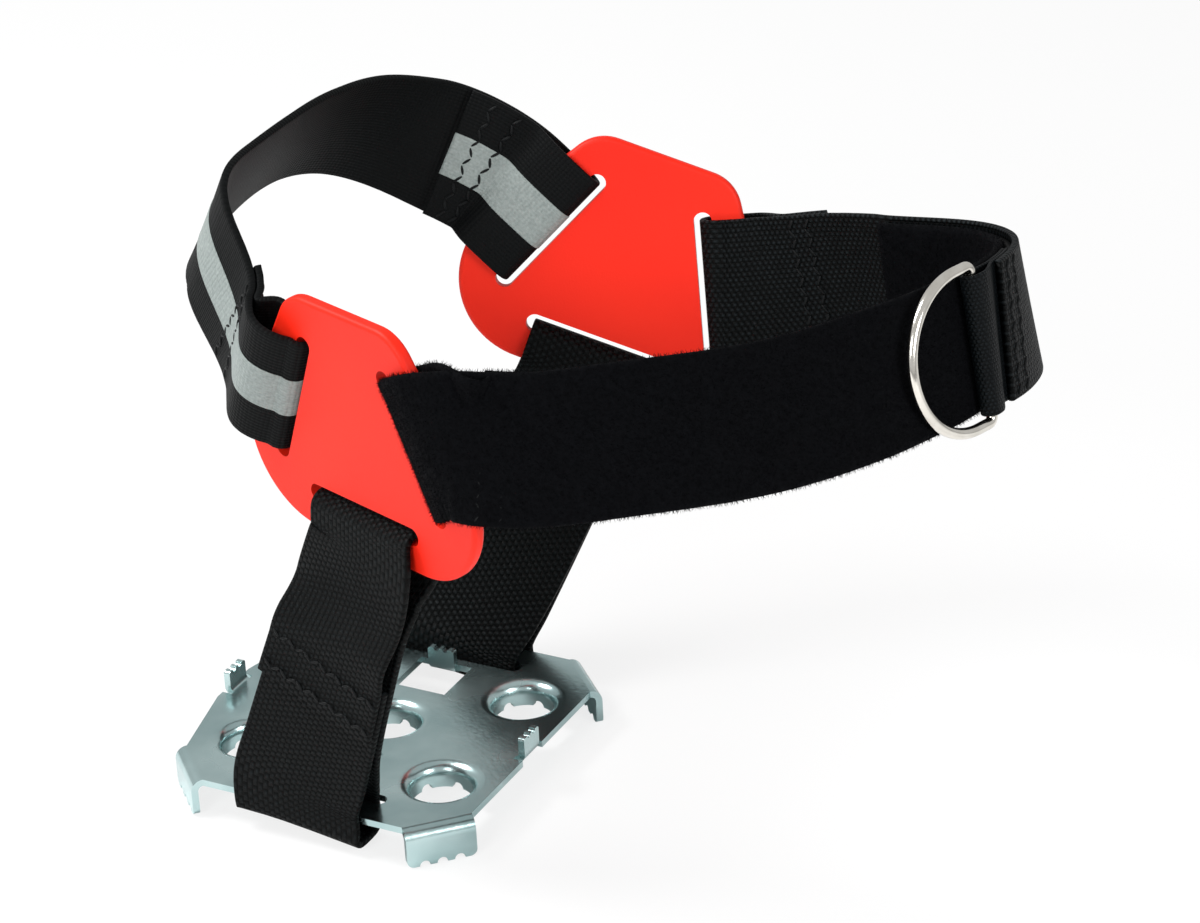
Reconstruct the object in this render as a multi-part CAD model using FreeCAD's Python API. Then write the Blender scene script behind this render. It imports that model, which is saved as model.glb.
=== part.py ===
import FreeCAD, Part

import math
import os

# Heel ice spur for the right foot, as it stands when the straps are closed.
# Frame, in millimetres: the origin is the middle of the heel plate's top face, +Y points to
# the toe, +Z up, and +X to the wearer's right. The left side leans out further than the
# right one, as the loose straps do in use.

Vector = FreeCAD.Vector
UP = Vector(0, 0, 1)
TOE = Vector(0, 1, 0)
RIGHT = Vector(1, 0, 0)
NEAR = 0.01

# Heel plate, pressed from one sheet
SHEET = 1.5
PLATE_HALF_WIDTH = 37.6
FRONT_EDGE = 35.4
REAR_EDGE = 34.8
REAR_POINT = 39.6
TAB_WIDTH = 15.2
TAB_DEPTH = 8.6
TAB_BEND = 1.2
TAB_CORNER = 1.6
TAB_NOTCHES = 3
TAB_NOTCH_RADIUS = 1.15

# Collared holes, one in the middle and four round it
HOLE_RADIUS = 6.65
HOLE_PITCH_X = 36.7
HOLE_PITCH_Y = 46.7
LIP_RADIUS = 2.65
COLLAR_WALL = 1.2
COLLAR_DEPTH = 5.4
CROWN_NOTCHES = 6
CROWN_NOTCH_RADIUS = 1.3

# Webbing bars at the plate's sides, and the windows inside them
BAR_WIDTH = 6.0
PLATE_SLOT_WIDTH = 3.5
PLATE_SLOT_PLAY = 3.0
STRIP_WIDTH = 2.1
WINDOW_LENGTH = 12.8
WINDOW_WIDTH = 12.6

# Serrated tongues that stand up and bite into the heel
TONGUE_WIDTH = 6.5
TONGUE_HEIGHT = 4.6
TONGUE_BEND = 0.8
TONGUE_RELIEF = 1.1
TONGUE_NOTCHES = 2
TONGUE_NOTCH_RADIUS = 0.7

# Straps
STRAP_WIDTH = 30.0
WEBBING = 1.5
ELASTIC = 1.6
LOOP_PILE = 2.0
HOOK_TAPE = 1.6
PATCH_WIDTH = 27.0
TAB_TAPE = 0.75
STRIPE_WIDTH = 10.0
STRIPE = 0.2
LAYER_GAP = 0.3
TAPE_GAP = 0.1
THREAD = 0.7
SEAM_STITCHES = 8
SEAM_ROW_STEP = 4.0
THREAD_PROUD = 0.3

# Link plates: three slots in a triangle with rounded corners
LINK_THICKNESS = 3.0
LINK_SLOT_LENGTH = 33.4
LINK_SLOT_WIDTH = 4.0
LINK_SLOT_ANGLE = 65.8
LINK_SLOT_SPREAD = 18.3
LINK_SLOT_RISE = 20.7
LINK_LOW_CORNER = (16.6, 9.7)
LINK_LOW_CORNER_RADIUS = 18.3
LINK_HIGH_CORNER = (11.0, 35.5)
LINK_HIGH_CORNER_RADIUS = 9.3
LINK_EDGE_ROUND = 1.0

# How each link plate stands: the lower slot's middle, then the turns about Z, X and Y
RIGHT_LINK_MIDDLE = Vector(37.7, 23.3, 74.2)
RIGHT_LINK_YAW = 20.0
RIGHT_LINK_DIP = -1.1
RIGHT_LINK_LEAN = 2.9
LEFT_LINK_MIDDLE = Vector(-67.4, 19.9, 63.2)
LEFT_LINK_YAW = 18.9
LEFT_LINK_DIP = 20.8
LEFT_LINK_LEAN = 14.6

# Folds round the bars
FOLD_RADIUS = 2.75
FOLD_BULGE = 0.9
ELASTIC_BULGE = 2.2
BAR_OVERHANG = 1.4
LEAVE_REACH = 0.6
JOIN_REACH = 5.5
WEBBING_FOLD_RADIUS = 3.1
WEBBING_FOLD_END = 8.5
FOLD_STEPS = 6
TAIL_START = 16.0
TAIL_END = 27.0
SEAM_PLACE = 20.5
AFTER_FOLD = 2.0

# Distances between the straps' sections
TAIL_STEP = 3.5
FINE_STEP = 2.5
LAYER_STEP = 3.0
FREE_STEP = 4.0

# Side webbing loops
LOOP_CLEARANCE = 0.4
LOOP_SLACK = 2.35
LOOP_CORNER = 1.7
LOOP_SKEW = 7.0

# Side webbing: how far up each run its stations lie, as shares of the run
WEBBING_LAP_LOW = 0.40
WEBBING_LAP_HIGH = 0.60
INNER_LAYER = (WEBBING_LAP_HIGH, 0.45, 0.3, 0.15, 0)
INNER_RUN = (0, 0.25, 0.5, 0.75, 1)
OUTER_RUN = (1, 0.8)
OUTER_LAYER = (0.66, 0.55, WEBBING_LAP_LOW)
OUTER_TURN = (0, 30, 60, 90)
INNER_TURN = (90, 120, 150, 180)

# Free routes of the straps: middle points from slot to slot
ELASTIC_ROUTE = [
    Vector(16.0, -24.0, 116.5),
    Vector(0.5, -29.0, 118.8),
    Vector(-17.7, -30.6, 119.4),
    Vector(-36.0, -30.6, 118.4),
    Vector(-51.0, -27.0, 115.0),
    Vector(-62.0, -18.0, 108.5),
]
ELASTIC_APEX_TOP = Vector(0, 0.62, 0.78)
ELASTIC_ARM_START = 29.0
ELASTIC_ARM_END = 48.0

LOOP_ROUTE = [
    Vector(48.3, 61.0, 100.3),
    Vector(36.5, 77.2, 99.7),
    Vector(21.5, 90.1, 97.8),
    Vector(1.5, 101.0, 94.6),
    Vector(-18.0, 109.7, 93.1),
    Vector(-34.9, 115.3, 91.9),
    Vector(-50.0, 119.0, 91.2),
    Vector(-64.0, 118.3, 88.8),
    Vector(-73.5, 114.8, 87.0),
    Vector(-79.0, 107.8, 85.4),
    Vector(-80.8, 98.0, 84.0),
    Vector(-80.5, 84.0, 82.6),
]
LOOP_FRONT_TOP = Vector(-0.30, -0.28, 0.91)
LOOP_BEND_TOP = Vector(0.06, -0.16, 0.98)

HOOK_ROUTE = [
    Vector(-85.4, 64.5, 78.6),
    Vector(-86.0, 74.5, 80.9),
]

# Strap end and its ring, measured along the loop strap from its far end
HINGE_FROM_END = 18.0
FLAP_END_FROM_END = 55.5
PATCH_END_FROM_END = 45.0
TAB_ROOT_FROM_END = 46.0
RING_FROM_END = 64.0
HINGE_GAP = 0.3

# The tab's roll: where it starts, its steps, and (distance behind the bar, share of its height)
ROLL_START = 1.0
ROLL_STEPS = 8
ROLL_BACK = ((2.0, 0.92), (3.5, 0.7), (5.0, 0.4), (6.5, 0.1))

# D-ring
RING_WIRE = 2.4
RING_HALF = 16.7
RING_DEPTH = 21.5
RING_CORNER = 1.5
RING_SWING = -2.5
RING_PLAY = 0.3

# Values that follow from the driving sizes
TAB_CUT = TAB_WIDTH / math.sqrt(2)
PLATE_SLOT_MIDDLE = PLATE_HALF_WIDTH - BAR_WIDTH - PLATE_SLOT_WIDTH / 2
WINDOW_OUTER = PLATE_HALF_WIDTH - BAR_WIDTH - PLATE_SLOT_WIDTH - STRIP_WIDTH
BAR_MIDDLE = PLATE_HALF_WIDTH - BAR_WIDTH / 2
PLATE_SLOT_LENGTH = STRAP_WIDTH + PLATE_SLOT_PLAY


def cylinder(radius, height, base, axis):
    return Part.makeCylinder(radius, height, base, axis)


def face_from_points(points):
    return Part.Face(Part.makePolygon(points + [points[0]]))


def slot_tool(length, width, depth):
    """Return a round-ended bar along Y, centred, from z = 0 down to -depth."""
    straight = length - width
    bar = Part.makeBox(width, straight, depth, Vector(-width / 2, -straight / 2, -depth))
    for end in (-1, 1):
        bar = bar.fuse(cylinder(width / 2, depth, Vector(0, end * straight / 2, -depth), UP))
    return bar.removeSplitter()


def plate_blank():
    outline = [
        Vector(PLATE_HALF_WIDTH, -REAR_EDGE + TAB_CUT, 0),
        Vector(PLATE_HALF_WIDTH, FRONT_EDGE - TAB_CUT, 0),
        Vector(PLATE_HALF_WIDTH - TAB_CUT, FRONT_EDGE, 0),
        Vector(TAB_CUT - PLATE_HALF_WIDTH, FRONT_EDGE, 0),
        Vector(-PLATE_HALF_WIDTH, FRONT_EDGE - TAB_CUT, 0),
        Vector(-PLATE_HALF_WIDTH, -REAR_EDGE + TAB_CUT, 0),
        Vector(TAB_CUT - PLATE_HALF_WIDTH, -REAR_EDGE, 0),
        Vector(-TONGUE_WIDTH, -REAR_POINT, 0),
        Vector(TONGUE_WIDTH, -REAR_POINT, 0),
        Vector(PLATE_HALF_WIDTH - TAB_CUT, -REAR_EDGE, 0),
    ]
    return face_from_points(outline).extrude(Vector(0, 0, -SHEET))


def hole_places():
    places = [Vector(0, 0, 0)]
    for side in (-1, 1):
        for end in (-1, 1):
            places.append(Vector(side * HOLE_PITCH_X / 2, end * HOLE_PITCH_Y / 2, 0))
    return places


def collar():
    """Return one drawn collar with a rounded lip above and a notched crown below."""
    lip = HOLE_RADIUS + LIP_RADIUS
    inner_bend = LIP_RADIUS - SHEET
    low = LIP_RADIUS * math.sqrt(0.5)
    inner_low = inner_bend * math.sqrt(0.5)

    def at(radius, height):
        return Vector(radius, 0, height)

    edges = [
        Part.Arc(
            at(lip, 0),
            at(lip - low, low - LIP_RADIUS),
            at(HOLE_RADIUS, -LIP_RADIUS),
        ).toShape(),
        Part.makeLine(at(HOLE_RADIUS, -LIP_RADIUS), at(HOLE_RADIUS, -COLLAR_DEPTH)),
        Part.makeLine(
            at(HOLE_RADIUS, -COLLAR_DEPTH), at(HOLE_RADIUS + COLLAR_WALL, -COLLAR_DEPTH)
        ),
        Part.makeLine(
            at(HOLE_RADIUS + COLLAR_WALL, -COLLAR_DEPTH), at(lip - inner_bend, -LIP_RADIUS)
        ),
        Part.Arc(
            at(lip - inner_bend, -LIP_RADIUS),
            at(lip - inner_low, inner_low - LIP_RADIUS),
            at(lip, -SHEET),
        ).toShape(),
        Part.makeLine(at(lip, -SHEET), at(lip, 0)),
    ]
    ring = Part.Face(Part.Wire(edges)).revolve(Vector(0, 0, 0), UP, 360)
    for index in range(CROWN_NOTCHES):
        angle = math.radians(360 * index / CROWN_NOTCHES)
        outward = Vector(math.cos(angle), math.sin(angle), 0)
        base = outward * (HOLE_RADIUS / 2) - UP * COLLAR_DEPTH
        ring = ring.cut(cylinder(CROWN_NOTCH_RADIUS, HOLE_RADIUS, base, outward))
    return ring


def bent_leaf(width, reach, bend, notches, notch_radius, corner, direction):
    """Return a sheet leaf that leaves the plate along +X and turns down (-1) or up (+1)."""
    if direction < 0:
        near, far = 0.0, -SHEET
    else:
        near, far = -SHEET, 0.0
    outer = bend + SHEET
    centre = Vector(0, 0, far + direction * bend)
    half = math.sqrt(0.5)
    tip = direction * reach

    def on_arc(radius, across, rise):
        return centre + Vector(radius * across, 0, -direction * radius * rise)

    edges = [
        Part.makeLine(Vector(0, 0, far), Vector(0, 0, near)),
        Part.Arc(Vector(0, 0, near), on_arc(outer, half, half), on_arc(outer, 1, 0)).toShape(),
        Part.makeLine(on_arc(outer, 1, 0), Vector(outer, 0, tip)),
        Part.makeLine(Vector(outer, 0, tip), Vector(bend, 0, tip)),
        Part.makeLine(Vector(bend, 0, tip), on_arc(bend, 1, 0)),
        Part.Arc(on_arc(bend, 1, 0), on_arc(bend, half, half), Vector(0, 0, far)).toShape(),
    ]
    profile = Part.Face(Part.Wire(edges))
    profile.translate(Vector(0, -width / 2, 0))
    leaf = profile.extrude(Vector(0, width, 0))
    tips = [
        edge
        for edge in leaf.Edges
        if abs(edge.CenterOfMass.z - tip) < NEAR and edge.BoundBox.YLength < NEAR
    ]
    leaf = leaf.makeFillet(corner, tips)
    for index in range(notches):
        across = width * ((index + 1) / (notches + 1) - 0.5)
        base = Vector(bend - SHEET, across, tip)
        leaf = leaf.cut(cylinder(notch_radius, 3 * SHEET, base, RIGHT))
    return leaf


def placed(shape, place, degrees):
    copy = shape.copy()
    copy.rotate(Vector(0, 0, 0), UP, degrees)
    copy.translate(place)
    return copy


def corner_tabs():
    tab = bent_leaf(
        TAB_WIDTH, TAB_DEPTH, TAB_BEND, TAB_NOTCHES, TAB_NOTCH_RADIUS, TAB_CORNER, -1
    )
    tabs = []
    for side in (-1, 1):
        for end, edge in ((1, FRONT_EDGE), (-1, REAR_EDGE)):
            middle = Vector(
                side * (PLATE_HALF_WIDTH - TAB_CUT / 2), end * (edge - TAB_CUT / 2), 0
            )
            tabs.append(placed(tab, middle, math.degrees(math.atan2(end, side))))
    return tabs


def tongue_places():
    """Return each tongue's root and the turn that points its leaf the way it is bent."""
    reach = TONGUE_BEND + SHEET
    return [
        (Vector(0, FRONT_EDGE - reach, 0), 90),
        (Vector(0, reach - REAR_POINT, 0), -90),
        (Vector(WINDOW_OUTER, 0, 0), 180),
        (Vector(-WINDOW_OUTER, 0, 0), 0),
    ]


def make_heel_plate():
    plate = plate_blank()
    deep = SHEET * 3
    for place in hole_places():
        base = place - UP * deep
        plate = plate.cut(cylinder(HOLE_RADIUS + LIP_RADIUS, 2 * deep, base, UP))
    for side in (-1, 1):
        slot = slot_tool(PLATE_SLOT_LENGTH, PLATE_SLOT_WIDTH, deep)
        slot.translate(Vector(side * PLATE_SLOT_MIDDLE, 0, SHEET))
        plate = plate.cut(slot)
        window_middle = side * (WINDOW_OUTER - WINDOW_WIDTH / 2)
        corner = Vector(window_middle - WINDOW_WIDTH / 2, -WINDOW_LENGTH / 2, SHEET - deep)
        plate = plate.cut(Part.makeBox(WINDOW_WIDTH, WINDOW_LENGTH, deep, corner))
    reach = TONGUE_BEND + SHEET
    relief_span = TONGUE_WIDTH + 2 * TONGUE_RELIEF
    for edge in (FRONT_EDGE - reach, -REAR_POINT):
        corner = Vector(-relief_span / 2, edge, -deep)
        plate = plate.cut(Part.makeBox(relief_span, reach, 2 * deep, corner))
    for place in hole_places():
        plate = plate.fuse(placed(collar(), place, 0))
    for tab in corner_tabs():
        plate = plate.fuse(tab)
    tongue = bent_leaf(
        TONGUE_WIDTH,
        TONGUE_HEIGHT,
        TONGUE_BEND,
        TONGUE_NOTCHES,
        TONGUE_NOTCH_RADIUS,
        TONGUE_NOTCH_RADIUS,
        1,
    )
    for place, turn in tongue_places():
        plate = plate.fuse(placed(tongue, place, turn))
    return plate.removeSplitter()


class Link:
    """A link plate's own frame: along its lower slot, up, and outward from the foot."""

    def __init__(self, middle, yaw, dip, lean, side):
        turn = FreeCAD.Rotation(UP, -side * yaw)
        turn = turn.multiply(FreeCAD.Rotation(RIGHT, -dip))
        turn = turn.multiply(FreeCAD.Rotation(TOE, side * lean))
        self.placement = FreeCAD.Placement(middle, turn)
        self.middle = middle
        self.along = turn.multVec(TOE)
        self.up = turn.multVec(UP)
        self.out = turn.multVec(RIGHT) * side

    def at(self, along, up, out):
        return self.middle + self.along * along + self.up * up + self.out * out

    def slot(self, end):
        """Return the rear (-1) or front (1) slot's frame: middle, its run, and away from it."""
        angle = math.radians(LINK_SLOT_ANGLE)
        middle = self.at(end * LINK_SLOT_SPREAD, LINK_SLOT_RISE, 0)
        run = self.along * (-end * math.cos(angle)) + self.up * math.sin(angle)
        away = self.along * (end * math.sin(angle)) + self.up * math.cos(angle)
        return middle, run, away, self.out


RIGHT_LINK = Link(RIGHT_LINK_MIDDLE, RIGHT_LINK_YAW, RIGHT_LINK_DIP, RIGHT_LINK_LEAN, 1)
LEFT_LINK = Link(LEFT_LINK_MIDDLE, LEFT_LINK_YAW, LEFT_LINK_DIP, LEFT_LINK_LEAN, -1)


def side_normal(circle, following):
    """Return the outward angle of the straight side from one outline circle to the next."""
    x, y, radius = circle
    next_x, next_y, next_radius = following
    gap = math.hypot(next_x - x, next_y - y)
    heading = math.atan2(next_y - y, next_x - x)
    return heading - math.acos((radius - next_radius) / gap)


def link_circles():
    """Return the circles (x, y, radius) that the link plate's outline runs round."""
    low_x, low_y = LINK_LOW_CORNER
    high_x, high_y = LINK_HIGH_CORNER
    return [
        (-low_x, low_y, LINK_LOW_CORNER_RADIUS),
        (low_x, low_y, LINK_LOW_CORNER_RADIUS),
        (high_x, high_y, LINK_HIGH_CORNER_RADIUS),
        (-high_x, high_y, LINK_HIGH_CORNER_RADIUS),
    ]


def bar_reach():
    """Return how far the plate's edge lies from the middle of a side slot."""
    circles = link_circles()
    angle = side_normal(circles[1], circles[2])
    x, y, radius = circles[1]
    edge = x * math.cos(angle) + y * math.sin(angle) + radius
    slot_middle = LINK_SLOT_SPREAD * math.cos(angle) + LINK_SLOT_RISE * math.sin(angle)
    return edge - slot_middle


def rounded_hull(circles):
    """Return the face round circles (x, y, radius) that are given anticlockwise."""
    normals = [
        side_normal(circle, circles[(index + 1) % len(circles)])
        for index, circle in enumerate(circles)
    ]

    def on_circle(circle, angle):
        x, y, radius = circle
        return Vector(x + radius * math.cos(angle), y + radius * math.sin(angle), 0)

    edges = []
    for index, circle in enumerate(circles):
        start = normals[index - 1]
        stop = normals[index]
        while stop < start:
            stop += 2 * math.pi
        edges.append(
            Part.Arc(
                on_circle(circle, start),
                on_circle(circle, (start + stop) / 2),
                on_circle(circle, stop),
            ).toShape()
        )
        following = circles[(index + 1) % len(circles)]
        edges.append(Part.makeLine(on_circle(circle, stop), on_circle(following, stop)))
    return Part.Face(Part.Wire(edges))


def make_link_plate(link):
    """Model the plate flat in X (along) and Y (up), then stand it up in its place."""
    plate = rounded_hull(link_circles()).extrude(UP * LINK_THICKNESS)
    plate.translate(UP * (-LINK_THICKNESS / 2))
    rims = [
        edge
        for edge in plate.Edges
        if abs(abs(edge.CenterOfMass.z) - LINK_THICKNESS / 2) < NEAR
    ]
    plate = plate.makeFillet(LINK_EDGE_ROUND, rims)
    cuts = [(0, 0, 90)]
    for end in (-1, 1):
        tilt = end * (90 - LINK_SLOT_ANGLE)
        cuts.append((end * LINK_SLOT_SPREAD, LINK_SLOT_RISE, tilt))
    for x, y, turn in cuts:
        tool = slot_tool(LINK_SLOT_LENGTH, LINK_SLOT_WIDTH, 2 * LINK_THICKNESS)
        tool.translate(UP * LINK_THICKNESS)
        plate = plate.cut(placed(tool, Vector(x, y, 0), turn))
    plate.rotate(Vector(0, 0, 0), Vector(1, 1, 1), 120)
    plate.Placement = link.placement.multiply(plate.Placement)
    return plate


def unit(vector):
    return vector * (1 / vector.Length)


def squared_width(tangent, width):
    """Return the width direction made square to the tangent."""
    return unit(width - tangent * width.dot(tangent))


def strap_sections(stations, width, thickness, lift):
    """Return the four corners of a strap's section at each station."""
    sections = []
    last = len(stations) - 1
    for index, (middle, across) in enumerate(stations):
        before = stations[max(index - 1, 0)][0]
        after = stations[min(index + 1, last)][0]
        across = unit(across)
        normal = unit((after - before).cross(across))
        half = across * (width / 2)
        low = middle + normal * (lift - thickness / 2)
        high = middle + normal * (lift + thickness / 2)
        sections.append([low - half, low + half, high + half, high - half])
    return sections


def patch(one, two, three, four):
    """Return the ruled face on four corners, which needn't lie in one plane."""
    surface = Part.BSplineSurface()
    poles = [[one, two], [four, three]]
    surface.buildFromPolesMultsKnots(poles, [2, 2], [2, 2], [0, 1], [0, 1], False, False, 1, 1)
    return surface.toShape()


def strip(stations, width, thickness, lift=0.0):
    """Return a flat strip through stations, each a middle point and a width direction.

    The strip lies lift above the stations' own line, on the side of its normal.
    """
    return solid_from_sections(strap_sections(stations, width, thickness, lift))


def joined_strips(pieces, width, thickness, lift=0.0):
    """Return strips end to end: each list of stations starts where the last one stops."""
    stations = []
    cuts = []
    for piece in pieces:
        start = max(len(stations) - 1, 0)
        stations += piece[1:] if stations else piece
        cuts.append((start, len(stations)))
    sections = strap_sections(stations, width, thickness, lift)
    return [solid_from_sections(sections[start:stop]) for start, stop in cuts]


def solid_from_sections(sections):
    faces = [face_from_points(sections[0]), face_from_points(sections[-1])]
    for here, there in zip(sections, sections[1:]):
        for index in range(4):
            faces.append(patch(here[index - 1], here[index], there[index], there[index - 1]))
    shell = Part.makeShell(faces)
    shell.sewShape()
    solid = Part.makeSolid(shell)
    if solid.Volume < 0:
        solid.reverse()
    return solid


class Route:
    """A strap's smooth middle line, with a width direction at each of its points."""

    def __init__(self, points, widths):
        self.curve = Part.BSplineCurve()
        self.curve.interpolate(points)
        self.length = self.curve.length()
        self.marks = [
            self.curve.length(self.curve.FirstParameter, self.curve.parameter(point))
            for point in points
        ]
        self.widths = widths

    def width_at(self, distance):
        for index in range(1, len(self.marks)):
            if distance <= self.marks[index] or index == len(self.marks) - 1:
                low = self.marks[index - 1]
                share = (distance - low) / (self.marks[index] - low)
                share = min(max(share, 0), 1)
                return self.widths[index - 1] * (1 - share) + self.widths[index] * share

    def station(self, distance):
        distance = min(max(distance, 0), self.length)
        parameter = self.curve.parameterAtDistance(distance, self.curve.FirstParameter)
        tangent = unit(self.curve.tangent(parameter)[0])
        return self.curve.value(parameter), squared_width(tangent, self.width_at(distance))

    def stations(self, start, stop, step):
        count = max(2, round(abs(stop - start) / step) + 1)
        gap = (stop - start) / (count - 1)
        return [self.station(start + gap * index) for index in range(count)]

    def normal(self, distance):
        middle, across = self.station(distance)
        parameter = self.curve.parameterAtDistance(distance, self.curve.FirstParameter)
        tangent = unit(self.curve.tangent(parameter)[0])
        return tangent.cross(across)

    def beside(self, start, stop, step, offset):
        count = max(2, round(abs(stop - start) / step) + 1)
        gap = (stop - start) / (count - 1)
        layer = []
        for index in range(count):
            distance = start + gap * index
            middle, across = self.station(distance)
            layer.append((middle + self.normal(distance) * offset, across))
        return layer


def fold(slot, side):
    """Return stations round a slot's bar, from the far face of the plate to the side face."""
    middle, run, away, out = slot
    stations = []
    for index in range(FOLD_STEPS + 1):
        angle = math.radians(-90 + 180 * index / FOLD_STEPS)
        reach = FOLD_RADIUS * (1 - math.cos(angle))
        rise = side * FOLD_RADIUS * math.sin(angle)
        stations.append((middle + away * reach + out * rise, run))
    return stations


def slot_point(slot, reach, rise):
    middle, run, away, out = slot
    return middle + away * reach + out * rise


def folded_end(slot, side, route, tail_offset):
    """Return stations of a strap's tail and fold, up to the route's first point."""
    tail = route.beside(TAIL_END, TAIL_START, TAIL_STEP, tail_offset)
    run = slot[1]
    beside_bar = [(slot_point(slot, BAR_EDGE, -side * FOLD_RADIUS), run)]
    return tail + beside_bar + fold(slot, side)


BAR_EDGE = bar_reach() + BAR_OVERHANG
ELASTIC_LAYERS = ELASTIC + LAYER_GAP
WEBBING_LAYERS = WEBBING + LAYER_GAP
LOOP_LAYERS = LOOP_PILE + LAYER_GAP
TAB_LAYER_GAP = 0.05
RING_LIFT = LOOP_PILE / 2 + LAYER_GAP + TAB_TAPE + RING_PLAY + RING_WIRE / 2


def elastic_route():
    right = RIGHT_LINK.slot(-1)
    left = LEFT_LINK.slot(-1)
    bulge = FOLD_RADIUS + FOLD_BULGE
    wide_bulge = FOLD_RADIUS + ELASTIC_BULGE
    starts = [slot_point(right, FOLD_RADIUS, FOLD_RADIUS), slot_point(right, BAR_EDGE, wide_bulge)]
    starts.append(slot_point(right, BAR_EDGE + JOIN_REACH, ELASTIC_LAYERS / 2))
    stops = [slot_point(left, BAR_EDGE + JOIN_REACH, ELASTIC_LAYERS / 2)]
    stops.append(slot_point(left, BAR_EDGE, bulge))
    stops.append(slot_point(left, FOLD_RADIUS, FOLD_RADIUS))
    points = starts + ELASTIC_ROUTE + stops
    free = len(ELASTIC_ROUTE)
    widths = [right[1]] * 3
    for index in range(free):
        share = (index + 1) / (free + 1)
        if share < 0.5:
            widths.append(right[1] * (1 - 2 * share) + ELASTIC_APEX_TOP * (2 * share))
        else:
            widths.append(ELASTIC_APEX_TOP * (2 - 2 * share) + left[1] * (2 * share - 1))
    widths += [left[1]] * 3
    return Route(points, widths)


def loop_route():
    slot = RIGHT_LINK.slot(1)
    points = [slot_point(slot, FOLD_RADIUS, FOLD_RADIUS)]
    points.append(slot_point(slot, BAR_EDGE + LEAVE_REACH, FOLD_RADIUS))
    points += LOOP_ROUTE
    widths = [slot[1], slot[1], slot[1] + LOOP_FRONT_TOP]
    widths += [LOOP_FRONT_TOP] * 4
    widths += [LOOP_FRONT_TOP + LOOP_BEND_TOP]
    widths += [LOOP_BEND_TOP] * (len(points) - len(widths))
    return Route(points, widths)


LOOP_LINE = loop_route()
ELASTIC_LINE = elastic_route()
# From the loop strap's middle to the hook strap's middle where they are closed together
CLOSED_OFFSET = LOOP_PILE / 2 + LAYER_GAP + HOOK_TAPE + WEBBING / 2


def outward_sign(route, distance, outward):
    return 1 if route.normal(distance).dot(outward) > 0 else -1


LOOP_OUT = outward_sign(LOOP_LINE, LOOP_LINE.length / 2, RIGHT + TOE)
ELASTIC_OUT = outward_sign(ELASTIC_LINE, ELASTIC_LINE.length / 2, -TOE)


def hook_route():
    """From the left link's front slot to where the hook strap meets the loop strap's end."""
    slot = LEFT_LINK.slot(1)
    points = [
        slot_point(slot, FOLD_RADIUS, -FOLD_RADIUS),
        slot_point(slot, BAR_EDGE + LEAVE_REACH, -FOLD_RADIUS),
    ]
    points += HOOK_ROUTE
    widths = [slot[1], slot[1], slot[1] + LOOP_BEND_TOP, LOOP_BEND_TOP]
    for distance in (0.0, HINGE_FROM_END):
        place = LOOP_LINE.length - distance
        middle, across = LOOP_LINE.station(place)
        points.append(middle + LOOP_LINE.normal(place) * (LOOP_OUT * CLOSED_OFFSET))
        widths.append(across)
    return Route(points, widths)


HOOK_LINE = hook_route()
HOOK_OUT = outward_sign(HOOK_LINE, HOOK_LINE.length / 2, -RIGHT)


def elastic_pieces():
    line = ELASTIC_LINE
    far = line.length
    right_fold = folded_end(RIGHT_LINK.slot(-1), 1, line, -ELASTIC_OUT * ELASTIC_LAYERS)
    right_end = right_fold + line.stations(AFTER_FOLD, ELASTIC_ARM_START, FINE_STEP)
    arms = (ELASTIC_ARM_START, ELASTIC_ARM_END)
    tail_offset = -ELASTIC_OUT * ELASTIC_LAYERS
    tail = line.beside(far - TAIL_START, far - TAIL_END, TAIL_STEP, tail_offset)
    left_slot = LEFT_LINK.slot(-1)
    left_fold = list(reversed(fold(left_slot, 1)))
    left_end = line.stations(far - ELASTIC_ARM_START, far - AFTER_FOLD, FINE_STEP) + left_fold
    left_end.append((slot_point(left_slot, BAR_EDGE, -FOLD_RADIUS), left_slot[1]))
    left_end += tail
    return {
        "elastic_right_end": right_end,
        "elastic_right_arm": line.stations(*arms, LAYER_STEP),
        "elastic_back": line.stations(arms[1], far - arms[1], FREE_STEP),
        "elastic_left_arm": line.stations(far - arms[1], far - arms[0], LAYER_STEP),
        "elastic_left_end": left_end,
    }


def threads(frames, low, high):
    """Return a seam's stitches: thread from lift low to lift high at each row's frame."""
    pins = []
    for middle, across, normal in frames:
        for index in range(SEAM_STITCHES):
            share = (index + 0.5) / SEAM_STITCHES - 0.5
            start = middle + across * (share * STRAP_WIDTH) + normal * low
            pins.append(cylinder(THREAD / 2, high - low, start, normal))
    return Part.makeCompound(pins)


def seam_frames(route, distance):
    frames = []
    for row in (-0.5, 0.5):
        place = distance + row * SEAM_ROW_STEP
        middle, across = route.station(place)
        frames.append((middle, across, route.normal(place)))
    return frames


def tail_seam(route, distance, tail_offset, thickness):
    """Return the seam that holds a strap's tail to the strap."""
    reach = thickness / 2 + THREAD_PROUD
    low = min(tail_offset, 0) - reach
    high = max(tail_offset, 0) + reach
    return threads(seam_frames(route, distance), low, high)


def loop_strap_stations():
    tail_offset = -LOOP_OUT * LOOP_LAYERS
    start = folded_end(RIGHT_LINK.slot(1), 1, LOOP_LINE, tail_offset)
    return start + LOOP_LINE.stations(AFTER_FOLD, LOOP_LINE.length, FREE_STEP)


def hook_strap_stations():
    start = folded_end(LEFT_LINK.slot(1), -1, HOOK_LINE, HOOK_OUT * WEBBING_LAYERS)
    loop_end = HOOK_LINE.marks[-2]
    free = HOOK_LINE.stations(AFTER_FOLD, loop_end - LAYER_STEP, FREE_STEP)
    return start + free + over_loop(0.0, HINGE_FROM_END, CLOSED_OFFSET)


def over_loop(start_from_end, stop_from_end, lift, step=LAYER_STEP):
    """Return stations that follow the loop strap, lift outside its middle line."""
    start = LOOP_LINE.length - start_from_end
    stop = LOOP_LINE.length - stop_from_end
    return LOOP_LINE.beside(start, stop, step, LOOP_OUT * lift)


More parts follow.
